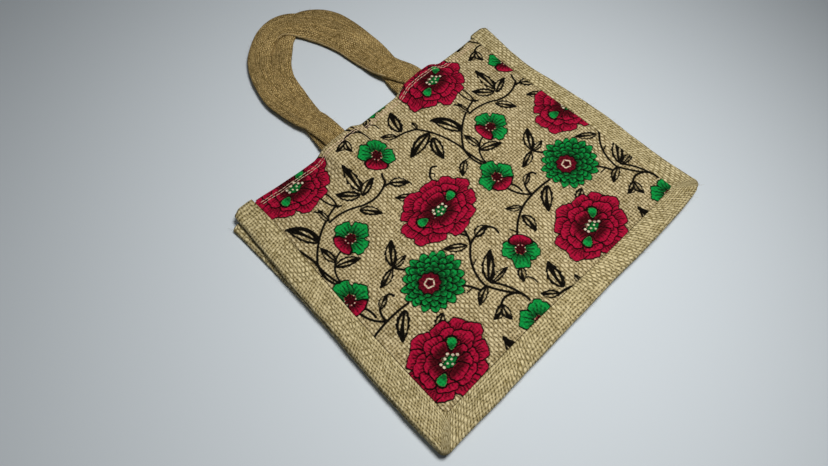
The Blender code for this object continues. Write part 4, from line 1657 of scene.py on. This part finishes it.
@dataclass
class Gusset:
    """The strip round both sides and the bottom, folded in between front and back."""

    outline: Outline
    finish: PlainWeave
    side_steps: int = 92
    bottom_steps: int = 100
    corner_steps: int = 6
    front_extra: float = 4.0  # how far the front half reaches past its seam at the mouth
    back_extra: float = -1.0
    extra_depth: float = 6.0  # below the mouth, over which that reach fades out
    rounding: float = 2.6  # how much the outer corner at the mouth is rounded off
    rounding_reach: float = 7.0
    waver: float = 1.2  # how far the outer folds stray
    crown: float = 0.35  # how far the flat band bulges between seam and fold
    ripple: float = 0.12
    base: float = 2.9  # above this height the strip rises and sinks with the front

    def build(self) -> bpy.types.Object:
        """Builds and dresses the gusset.

        Returns:
            Its object.
        """
        seam, edge, back, depth = self.stations()
        ahead = np.gradient(seam, axis=0)
        inward = unit(np.stack([-ahead[:, 1], ahead[:, 0]], 1))
        front_way, back_way = edge - seam, back - seam
        front_width = np.linalg.norm(front_way, axis=1)
        back_width = np.linalg.norm(back_way, axis=1)
        waver = uneven(seam[:, 0] * 1.7 + 40, seam[:, 1] * 1.7) * self.waver
        lift = self.outline.stack(seam[:, 0], seam[:, 1]) - STACK
        places, flats = [], []
        at, last = np.zeros(len(seam)), None
        near_mouth = np.clip(1 - depth / self.extra_depth, 0, 1)
        for distance, z, front in self.section(front_width + waver, back_width + waver * 0.7):
            distance = np.broadcast_to(distance, front_width.shape)
            z = np.broadcast_to(z, front_width.shape)
            way = front_way / front_width[:, None] if front else back_way / back_width[:, None]
            ease = smooth((distance - SEAM_BEND) / FLAP_EASE)[:, None]
            flat_place = seam + unit(between(-inward, way, ease)) * distance[:, None]
            extra = self.front_extra if front else self.back_extra
            width = front_width if front else back_width
            near_fold = smooth((distance - width + self.rounding_reach) / self.rounding_reach)
            flat_place[:, 1] += near_mouth * (extra - self.rounding * near_fold)
            raised = z + lift * smooth((z - self.base) / (STACK - 2 * self.base))
            point = np.column_stack([flat_place, raised])
            if last is not None:
                at = at + np.linalg.norm(point - last, axis=1)
            last = point
            places.append(point)
            flats.append(seam - inward * at[:, None])
        points = np.stack(places, 1)
        cloth = np.stack(flats, 1)
        return self.make(points, cloth)

    def make(self, points: Array, cloth: Array) -> bpy.types.Object:
        """Makes the object from its middle surface.

        Args:
            points: The surface, a section for each row.
            cloth: The same on the flat cloth.

        Returns:
            The object, thick and dressed.
        """
        faces = grid_cells(*points.shape[:2]).reshape(-1, 4)
        gusset = new_object("gusset_cloth", points.reshape(-1, 3), faces, cloth.reshape(-1, 2))
        thicken(gusset)
        self.square_seam(gusset.data, points)
        gusset.data.materials.append(self.finish.build())
        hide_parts("gusset")
        return gusset

    @staticmethod
    def square_seam(mesh: bpy.types.Mesh, points: Array) -> None:
        """Presses the outer face into the corner of the seam with the front.

        Args:
            mesh: The thickened strip, whose first and second halves are its two faces.
            points: Its middle surface, stations by steps of the section.
        """
        places = np.empty(len(mesh.vertices) * 3)
        mesh.vertices.foreach_get("co", places)
        halves = places.reshape(2, *points.shape)
        radius = SEAM_BEND + CLOTH / 2
        away = points[:, BEND_START + len(BEND_ANGLES)] - points[:, BEND_START]
        away[:, 2] = 0
        away = unit(away)
        corner = 2 / SEAM_SQUARENESS
        for step, angle in enumerate(map(math.radians, BEND_ANGLES[:-1]), BEND_START + 1):
            across = math.cos(angle) - math.cos(angle) ** corner
            upward = math.sin(angle) ** corner - math.sin(angle)
            push = radius * (away * across + np.array([0, 0, upward]))
            for half in halves:
                outer = ((half[:, step] / MM - points[:, step]) * push).sum(1) > 0
                half[outer, step] += push[outer] * MM
        mesh.vertices.foreach_set("co", halves.ravel())
        mesh.update()

    def section(self, front_width: Array, back_width: Array) -> list:
        """The folded strip's section from the front's seam to the back's.

        Args:
            front_width: From the seam to the front's outer fold, for each station.
            back_width: The same for the back.

        Returns:
            For each step its distance from the seam, its height and whether it is in the front half.
        """
        start = CLOTH / 2 + SEAM_HALF_GAP
        out = CLOTH / 2 + OUTER_FOLD
        rows = [(start, STACK - SEAM_TURN, True), (start, STACK - CLOTH / 2 - SEAM_BEND, True)]
        for angle in np.radians(BEND_ANGLES):
            reach = start + SEAM_BEND * (1 - math.cos(angle))
            rows.append((reach, STACK - CLOTH / 2 - SEAM_BEND * (1 - math.sin(angle)), True))
        flat_start = start + SEAM_BEND
        for part in np.linspace(0, 1, 9)[1:-1]:
            crown = self.crown * math.sin(math.pi * part) + self.ripple * math.sin(9 * part)
            rows.append((between(flat_start, front_width - out, part), STACK - CLOTH / 2 + crown, True))
        rows += self.fold(front_width - out, STACK - out, OUTER_FOLD, (90, -90), 9, True)
        inner = INNER_FOLD_INSET + CLOTH / 2 + INNER_FOLD
        rows.append((between(front_width - out, inner, 0.5), STACK - CLOTH / 2 - 2 * OUTER_FOLD, True))
        rows += self.fold(inner, STACK / 2, INNER_FOLD, (90, 270), 5, True)
        rows.append((between(back_width - out, inner, 0.5), CLOTH / 2 + 2 * OUTER_FOLD, False))
        rows += self.fold(back_width - out, out, OUTER_FOLD, (90, -90), 9, False)
        for part in np.linspace(1, 0, 6)[1:]:
            rows.append((between(flat_start, back_width - out, part), CLOTH / 2, False))
        for angle in np.radians((60, 30)):
            reach = start + SEAM_BEND * (1 - math.cos(angle))
            rows.append((reach, CLOTH / 2 + SEAM_BEND * (1 - math.sin(angle)), False))
        rows += [(start, CLOTH / 2 + SEAM_BEND, False), (start, SEAM_TURN, False)]
        return rows

    @staticmethod
    def fold(x: Array, z: float, radius: float, angles: tuple, steps: int, front: bool) -> list:
        """The steps round one fold."""
        turns = np.radians(np.linspace(*angles, steps))
        return [(x + radius * math.cos(a), z + radius * math.sin(a), front) for a in turns]

    def stations(self) -> tuple[Array, Array, Array, Array]:
        """The lines that the sections lie on, from the left mouth round to the right one.

        Returns:
            The seam, the front's outer fold, the back's and the depth below the mouth.
        """
        left = self.side(LEFT_SIDE, -1)
        right = self.side(RIGHT_SIDE, 1)
        low_left, low_right = [line[-1] for line in left], [line[-1] for line in right]
        across = np.linspace(0, 1, self.bottom_steps)[1:-1]
        seam_x = between(low_left[0][0] + SEAM_CORNER, low_right[0][0] - SEAM_CORNER, across)
        edge_x = between(low_left[1][0] + EDGE_CORNER, low_right[1][0] - EDGE_CORNER, across)
        bottom_seam = np.column_stack([seam_x, self.outline.bottom_seam(seam_x)])
        bottom_edge = np.column_stack([edge_x, self.outline.bottom_edge(edge_x)])
        middle = (bottom_seam, bottom_edge, bottom_edge)
        rounds = (SEAM_CORNER, EDGE_CORNER, EDGE_CORNER)
        lines = []
        for k in range(3):
            first = self.corner(low_left[k], rounds[k], -1)
            second = self.corner(low_right[k], rounds[k], 1)[::-1]
            lines.append(np.concatenate([left[k], first, middle[k], second, right[k][::-1]]))
        depth = np.full(len(lines[0]), 1e3)
        for side in (slice(0, len(left[0])), slice(-len(right[0]), None)):
            part = lines[0][side]
            depth[side] = part[:, 1].max() - part[:, 1]
        return (*lines, depth)

    def side(self, table: tuple, outward: int) -> tuple[Array, Array, Array]:
        """One side's lines from the mouth down to its corner.

        Args:
            table: The rows of that side.
            outward: -1 on the left and 1 on the right.

        Returns:
            The seam, the front's outer fold and the back's.
        """
        seam_x = column(table, "y", "seam")
        edge_x, back_x = column(table, "y", "edge"), column(table, "y", "back")
        corner = BOTTOM[0] if outward < 0 else BOTTOM[-1]
        corner_x = float(seam_x(corner.seam))
        top = float(self.outline.mouth(corner_x))
        seam_low = float(self.outline.bottom_seam(corner_x)) + SEAM_CORNER
        edge_low = float(self.outline.bottom_edge(edge_x(corner.edge))) + EDGE_CORNER
        part = np.linspace(0, 1, self.side_steps) ** 1.12
        y, edge_y = between(top, seam_low, part), between(top, edge_low, part)
        return (
            np.column_stack([seam_x(y), y]),
            np.column_stack([edge_x(edge_y), edge_y]),
            np.column_stack([back_x(edge_y), edge_y]),
        )

    def corner(self, low: Array, radius: float, outward: int) -> Array:
        """A rounded bottom corner below a side's last place.

        Args:
            low: That last place.
            radius: The corner's radius.
            outward: -1 on the left and 1 on the right.

        Returns:
            Its places, without the last one of the side.
        """
        turns = np.linspace(0, math.pi / 2, self.corner_steps + 1)[1:]
        return np.column_stack(
            [low[0] - outward * radius * (1 - np.cos(turns)), low[1] - radius * np.sin(turns)]
        )


def thicken(obj: bpy.types.Object) -> None:
    """Gives an open mesh the cloth's thickness.

    Args:
        obj: The mesh's object.
    """
    solidify = obj.modifiers.new("thickness", "SOLIDIFY")
    solidify.thickness = CLOTH * MM
    solidify.offset = 0
    solidify.use_even_offset = True
    bpy.context.view_layer.update()
    made = bpy.data.meshes.new_from_object(obj.evaluated_get(bpy.context.evaluated_depsgraph_get()))
    obj.modifiers.clear()
    obj.data = made


@dataclass
class Handle:
    """A strap of fine burlap round a soft filling, sewn inside the mouth at both ends."""

    name: str
    node: str
    table: tuple
    finish: PlainWeave
    step: float = 1.6
    sides: int = 48
    droop: float = 0.0  # how far the inner edge hangs down, between two places along the strap
    droop_span: tuple = (188.0, 326.0)
    droop_ease: tuple = (30.0, 34.0)  # over these lengths it comes up and fades out
    ridge: float = 0.3  # rise of the long folds on the upper face
    ridge_spacing: float = 5.4
    dent: float = 0.9
    squareness: float = 2.15  # of the section's upper half; 2 is an ellipse
    under_squareness: float = 5.0
    end_taper: float = 0.55

    def route(self) -> Array:
        """Evenly spaced rows of the table.

        Returns:
            A row for each step along the strap.
        """
        rows = np.array(self.table, float)
        knots = np.concatenate([[0], np.cumsum(np.linalg.norm(np.diff(rows[:, :3], axis=0), axis=1))])
        count = round(knots[-1] / self.step)
        return Curve(knots, rows)(np.linspace(0, knots[-1], count + 1))

    def frames(self, route: Array) -> tuple[Array, Array]:
        """The directions to the strap's outer edge and to its upper face, all along it.

        Args:
            route: The evenly spaced rows.

        Returns:
            Two unit vectors for each row.
        """
        heading = unit(np.gradient(route[:, :3], axis=0))
        outer = unit(np.column_stack([-heading[:, 1], heading[:, 0], np.zeros(len(route))]))
        upward = np.cross(heading, outer)
        tilt = np.radians(route[:, 3])[:, None]
        side = outer * np.cos(tilt) - upward * np.sin(tilt)
        return side, upward * np.cos(tilt) + outer * np.sin(tilt)

    def sag(self, along: Array) -> Array:
        """How far the strap's inner edge hangs down towards the table.

        Args:
            along: Places along the strap, in millimetres.

        Returns:
            Millimetres, above 0 where it hangs down.
        """
        start, end = self.droop_span
        rise, fall = self.droop_ease
        return self.droop * smooth((along - start) / rise) * smooth((end - along) / fall)

    def section(self) -> tuple[Array, Array, Array]:
        """The padded strap's section, round above and flattened below.

        Returns:
            For each point its angle, how far across it lies, as a part of the strap's width, and
            how far up, as a part of its thickness.
        """
        turns = 2 * math.pi * (np.arange(self.sides) + 0.5) / self.sides
        power = np.where(np.sin(turns) > 0, 2 / self.squareness, 2 / self.under_squareness)
        across = np.sign(np.cos(turns)) * np.abs(np.cos(turns)) ** power / 2
        up = np.sign(np.sin(turns)) * np.abs(np.sin(turns)) ** power / 2
        return turns, across, up

    def build(self) -> bpy.types.Object:
        """Builds and dresses the handle.

        Returns:
            The strap's object.
        """
        route = self.route()
        side, face = self.frames(route)
        turns, across, up = self.section()
        along = self.step * np.arange(len(route))
        taper = np.ones(len(route))
        taper[[0, -1]] = self.end_taper
        wide = route[:, 4] * (1 + wave(along, 0.014, 7.3) + wave(along, 0.01, 4.1, 1))
        wide = wide + wave(along, 0.16, 1.37) * wave(along, 1, 3.3)
        thick = route[:, 5] * taper
        points = (
            route[:, None, :3]
            + side[:, None] * (wide[:, None] * across)[..., None]
            + face[:, None] * (thick[:, None] * up)[..., None]
        )
        dent = uneven(along[:, None] * 1.5, turns[None] * 9) * self.dent
        points[..., 2] -= self.sag(along)[:, None] * (0.5 - across) ** 2
        drift = wave(along, 1.4, 41) + wave(along, 0.8, 17, 1)
        folds = np.cos(2 * math.pi * wide[:, None] * across / self.ridge_spacing + drift[:, None])
        dent = dent + self.ridge * folds * (1 - (2 * across) ** 2) * 2
        points += face[:, None] * (dent * np.maximum(up, 0))[..., None]
        ring = np.concatenate([points, points[:, :1]], 1)
        round_it = np.cumsum(np.linalg.norm(np.diff(ring, axis=1), axis=2), axis=1)
        cloth = np.stack([np.broadcast_to(along[:, None], round_it.shape), round_it], -1)
        faces = loop_faces(len(route), self.sides)
        handle = new_object(self.name, points.reshape(-1, 3), faces, cloth.reshape(-1, 2))
        handle.data.materials.append(self.finish.build())
        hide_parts(self.node)
        return handle


@dataclass
class StrapLip:
    """The raw edge of a strap's seam: a thin pale roll along its inner edge."""

    handle: Handle
    finish: SpunYarn
    start: int = 116  # first and last step of the strap that it shows on
    end: int = -38
    radius: float = 0.45
    inset: float = 0.475  # from the strap's middle, as a part of its width
    rise: float = 0.12  # over its middle, as a part of its thickness

    def build(self) -> bpy.types.Object:
        """Builds and dresses the roll.

        Returns:
            Its object.
        """
        route = self.handle.route()
        side, face = self.handle.frames(route)
        along = np.arange(len(route)) * self.handle.step
        stray = wave(along, 0.25, 3.1) + wave(along, 0.2, 1.3)
        inward = (route[:, 4] * self.inset + 0.3 * stray)[:, None]
        rise = (route[:, 5] * self.rise + 0.2 * stray)[:, None]
        path = (route[:, :3] - side * inward + face * rise)[self.start : self.end]
        path[:, 2] -= 0.95 * self.handle.sag(along)[self.start : self.end]
        size = self.radius * (1 + wave(along, 0.25, 2.3))[self.start : self.end]
        strands = Strands()
        strands.add(path, size, 6)
        lip = strands.make("strap_lip")
        lip.data.materials.append(self.finish.build())
        return lip


@dataclass
class MouthStitches:
    """Two rows of topstitching that hold the front's hem."""

    outline: Outline
    finish: SpunYarn
    rows: tuple = (3.3, 5.4)  # below the mouth
    span: tuple = (-121.5, 118.5)  # from the left to the right
    stitch: float = 3.5
    gap: float = 0.45
    thread: float = 0.27  # radius

    def build(self) -> bpy.types.Object:
        """Builds and dresses the stitches.

        Returns:
            Their object.
        """
        strands = Strands()
        start, end = self.span
        for depth in self.rows:
            count = int((end - start) / (self.stitch + self.gap))
            for k in range(count):
                x0 = start + depth * 0.3 + k * (self.stitch + self.gap)
                x = np.linspace(x0, x0 + self.stitch, 6)
                stray = 0.18 * math.sin(k * 1.7 + depth)
                y = self.outline.mouth(x) - depth + stray + wave(x, 0.1, 5)
                bow = np.sin(np.linspace(0, math.pi, 6))
                z = self.outline.front(x, y) + self.thread * (1.1 * bow - 0.55)
                strands.add(np.column_stack([x, y, z]), self.thread * (0.75 + 0.25 * bow), 6)
        stitches = strands.make("mouth_stitches")
        stitches.data.materials.append(self.finish.build())
        return stitches


@dataclass
class LooseFibres:
    """Short jute hairs that stand out of the cloth."""

    name: str
    finish: SpunYarn
    seed: int
    shortest: float = 1.2
    longest: float = 4.6
    lean: float = 0.8  # how strongly a hair follows the thread that it comes from
    curl: float = 0.35
    radius: float = 0.075
    strands: Strands = field(default_factory=Strands)

    def __post_init__(self) -> None:
        """Starts the row of chance numbers."""
        self.chance = np.random.default_rng(self.seed)

    def grow(self, root: Array, out: Array, thread: Array) -> None:
        """Adds one hair.

        Args:
            root: Where it starts.
            out: The direction that it leaves in.
            thread: The direction of the thread that it comes from.
        """
        length = self.chance.uniform(self.shortest, self.longest) * self.chance.uniform(0.4, 1)
        lean = self.chance.normal(0, self.lean)
        curl = self.chance.normal(0, self.curl, 3)
        steps = np.linspace(0, 1, 5)
        way = unit(out + thread * lean)
        path = root + np.outer(steps, way * length) + np.outer(steps**2, curl * length)
        path[:, 2] = np.maximum(path[:, 2], self.radius * 1.5)
        self.strands.add(path, self.radius * (1 - 0.55 * steps), 3)

    def make(self) -> bpy.types.Object:
        """Makes and dresses all the hairs.

        Returns:
            Their object.
        """
        hairs = self.strands.make(self.name)
        hairs.data.materials.append(self.finish.build())
        return hairs


def grow_handle_hairs(handle: Handle, hairs: LooseFibres, count: int) -> None:
    """Grows hairs along both edges and over the top of a handle.

    Args:
        handle: What they grow on.
        hairs: What they are added to.
        count: How many.
    """
    route = handle.route()
    side, face = handle.frames(route)
    heading = unit(np.gradient(route[:, :3], axis=0))
    hidden = 12  # steps at each end
    wide, high = 0.47, 0.42  # just inside the strap's skin, as parts of its width and thickness
    for _ in range(count):
        i = hairs.chance.integers(hidden, len(route) - hidden)
        turn = hairs.chance.choice((0.0, math.pi)) + hairs.chance.normal(0, 0.5)
        across, up = math.cos(turn), math.sin(turn)
        sideways, upwards = side[i] * across, face[i] * up
        root = route[i, :3] + sideways * route[i, 4] * wide + upwards * route[i, 5] * high
        hairs.grow(root, unit(sideways + upwards * 0.6), heading[i])


def grow_edge_hairs(gusset: Gusset, hairs: LooseFibres, count: int) -> None:
    """Grows hairs along the outer folds of the gusset and at its ends.

    Args:
        gusset: What they grow on.
        hairs: What they are added to.
        count: How many.
    """
    seam, edge, back, _ = gusset.stations()
    upper, lower = STACK - 2.6, 3.2  # heights of the two folds
    upper_share = 0.6
    for _ in range(count):
        i = int(hairs.chance.integers(0, len(seam)))
        line, z = (edge, upper) if hairs.chance.random() < upper_share else (back, lower)
        out = np.append(unit(line[i] - seam[i]), 0.25)
        ahead = seam[min(i + 1, len(seam) - 1)] - seam[max(i - 1, 0)]
        ahead = np.append(unit(ahead), 0)
        root = np.append(line[i], z + hairs.chance.uniform(-1.2, 1.6)) - out * 0.3
        hairs.grow(root, out, ahead)


# The studio -------------------------------------------------------------------------------


@dataclass
class Studio:
    """The table, the lights and the camera at the photograph's place."""

    target: tuple = (-51.034, 9.665, 13.0)
    azimuth: float = 317.656
    elevation: float = 65.885
    roll: float = -0.715
    distance: float = 380.28
    lens: float = 21.844
    sensor: float = 36.0
    nearest: float = 10.0  # from where on the camera sees
    lamp: tuple = (45, -62, 560)
    lamp_aim: tuple = (-88, 8, 0)
    lamp_radius: float = 70
    lamp_cone: float = 140
    lamp_power: float = 12.6
    lamp_colour: tuple = (1.0, 0.985, 0.96)
    ceiling: tuple = (0, 0, 1500)
    ceiling_size: float = 1500
    ceiling_power: float = 1.8
    ceiling_colour: tuple = (0.9, 0.95, 1.0)
    air_colour: tuple = (0.86, 0.92, 1.0, 1.0)
    air_strength: float = 0.025
    table_half: float = 2500

    def build(self) -> None:
        """Builds the studio."""
        self.add_table()
        self.add_camera()
        self.add_lamp()
        self.add_ceiling()
        world = bpy.data.worlds.new("studio_air")
        world.use_nodes = True
        air = world.node_tree.nodes["Background"]
        air.inputs["Color"].default_value = self.air_colour
        air.inputs["Strength"].default_value = self.air_strength
        bpy.context.scene.world = world
        bpy.context.scene.view_settings.view_transform = "Standard"

    def add_table(self) -> None:
        """Adds the table's top."""
        half = self.table_half * MM
        mesh = bpy.data.meshes.new("table")
        corners = [(-half, -half, 0), (half, -half, 0), (half, half, 0), (-half, half, 0)]
        mesh.from_pydata(corners, [], [(0, 1, 2, 3)])
        mesh.materials.append(CoatedBoard().build())
        table = bpy.data.objects.new("table", mesh)
        bpy.context.scene.collection.objects.link(table)

    def add_camera(self) -> None:
        """Adds the camera."""
        turn, rise, roll = map(math.radians, (self.azimuth, self.elevation, self.roll))
        level = math.cos(rise)
        back = Vector((math.sin(turn) * level, -math.cos(turn) * level, math.sin(rise)))
        right = Vector((math.cos(turn), math.sin(turn), 0))
        up = back.cross(right)
        rolled_right = right * math.cos(roll) + up * math.sin(roll)
        rolled_up = up * math.cos(roll) - right * math.sin(roll)
        eye = (Vector(self.target) + back * self.distance) * MM
        data = bpy.data.cameras.new("camera")
        data.lens = self.lens
        data.sensor_width = self.sensor
        data.clip_start = self.nearest * MM
        camera = bpy.data.objects.new("camera", data)
        axes = Matrix((rolled_right, rolled_up, back)).transposed()
        camera.matrix_world = Matrix.Translation(eye) @ axes.to_4x4()
        bpy.context.scene.collection.objects.link(camera)
        bpy.context.scene.camera = camera

    def add_lamp(self) -> None:
        """Adds the soft lamp that hangs over the bag's right side."""
        data = bpy.data.lights.new("lamp", "SPOT")
        data.energy = self.lamp_power
        data.shadow_soft_size = self.lamp_radius * MM
        data.spot_size = math.radians(self.lamp_cone)
        data.spot_blend = 1.0
        data.color = self.lamp_colour
        self.hang(data, self.lamp, self.lamp_aim)

    def add_ceiling(self) -> None:
        """Adds the wide, weak light of a white ceiling."""
        data = bpy.data.lights.new("ceiling", "AREA")
        data.energy = self.ceiling_power
        data.size = self.ceiling_size * MM
        data.color = self.ceiling_colour
        self.hang(data, self.ceiling, (0, 0, 0))

    @staticmethod
    def hang(data: bpy.types.Light, place: tuple, aim: tuple) -> None:
        """Hangs a light at a place, pointing at another.

        Args:
            data: The light.
            place: Where it hangs, in millimetres.
            aim: Where it points.
        """
        light = bpy.data.objects.new(data.name, data)
        light.location = Vector(place) * MM
        way = (Vector(aim) - Vector(place)) * MM
        light.rotation_euler = way.to_track_quat("-Z", "Y").to_euler()
        bpy.context.scene.collection.objects.link(light)


def main() -> None:
    """Builds every piece in order."""
    logging.basicConfig(level=logging.INFO, format="%(name)s: %(message)s")
    outline = Outline()
    Studio().build()
    front = Panel(
        "front_cloth",
        "front_panel",
        outline,
        1,
        outline.front,
        0.0,
        columns=312,
        rows=272,
        step=4,
        finish=PRINTED_HESSIAN,
        slot="printed_burlap",
        printed=True,
    )
    back = Panel(
        "back_cloth",
        "back_panel",
        outline,
        -1,
        lambda x, y: np.zeros_like(x + y),
        BACK_MOUTH_EXTRA,
        columns=100,
        rows=88,
        step=2,
        finish=HESSIAN,
        slot="burlap",
    )
    gusset = Gusset(outline, HESSIAN)
    handles = (
        Handle("front_strap", "handle_front", FRONT_HANDLE, STRAP_HESSIAN, droop=2.6),
        Handle("back_strap", "handle_back", BACK_HANDLE, STRAP_HESSIAN),
    )
    pieces = [back.build(), gusset.build(), front.build(), *(handle.build() for handle in handles)]
    pieces.append(StrapLip(handles[0], RAW_EDGE).build())
    pieces.append(MouthStitches(outline, TOPSTITCH).build())
    hairs = LooseFibres("loose_fibres", JUTE_FIBRE, seed=7)
    for handle in handles:
        grow_handle_hairs(handle, hairs, count=420)
    grow_edge_hairs(gusset, hairs, count=180)
    pieces.append(hairs.make())
    for piece in pieces:
        log.info("%s: %d faces", piece.name, len(piece.data.polygons))


if __name__ == "__main__":
    main()
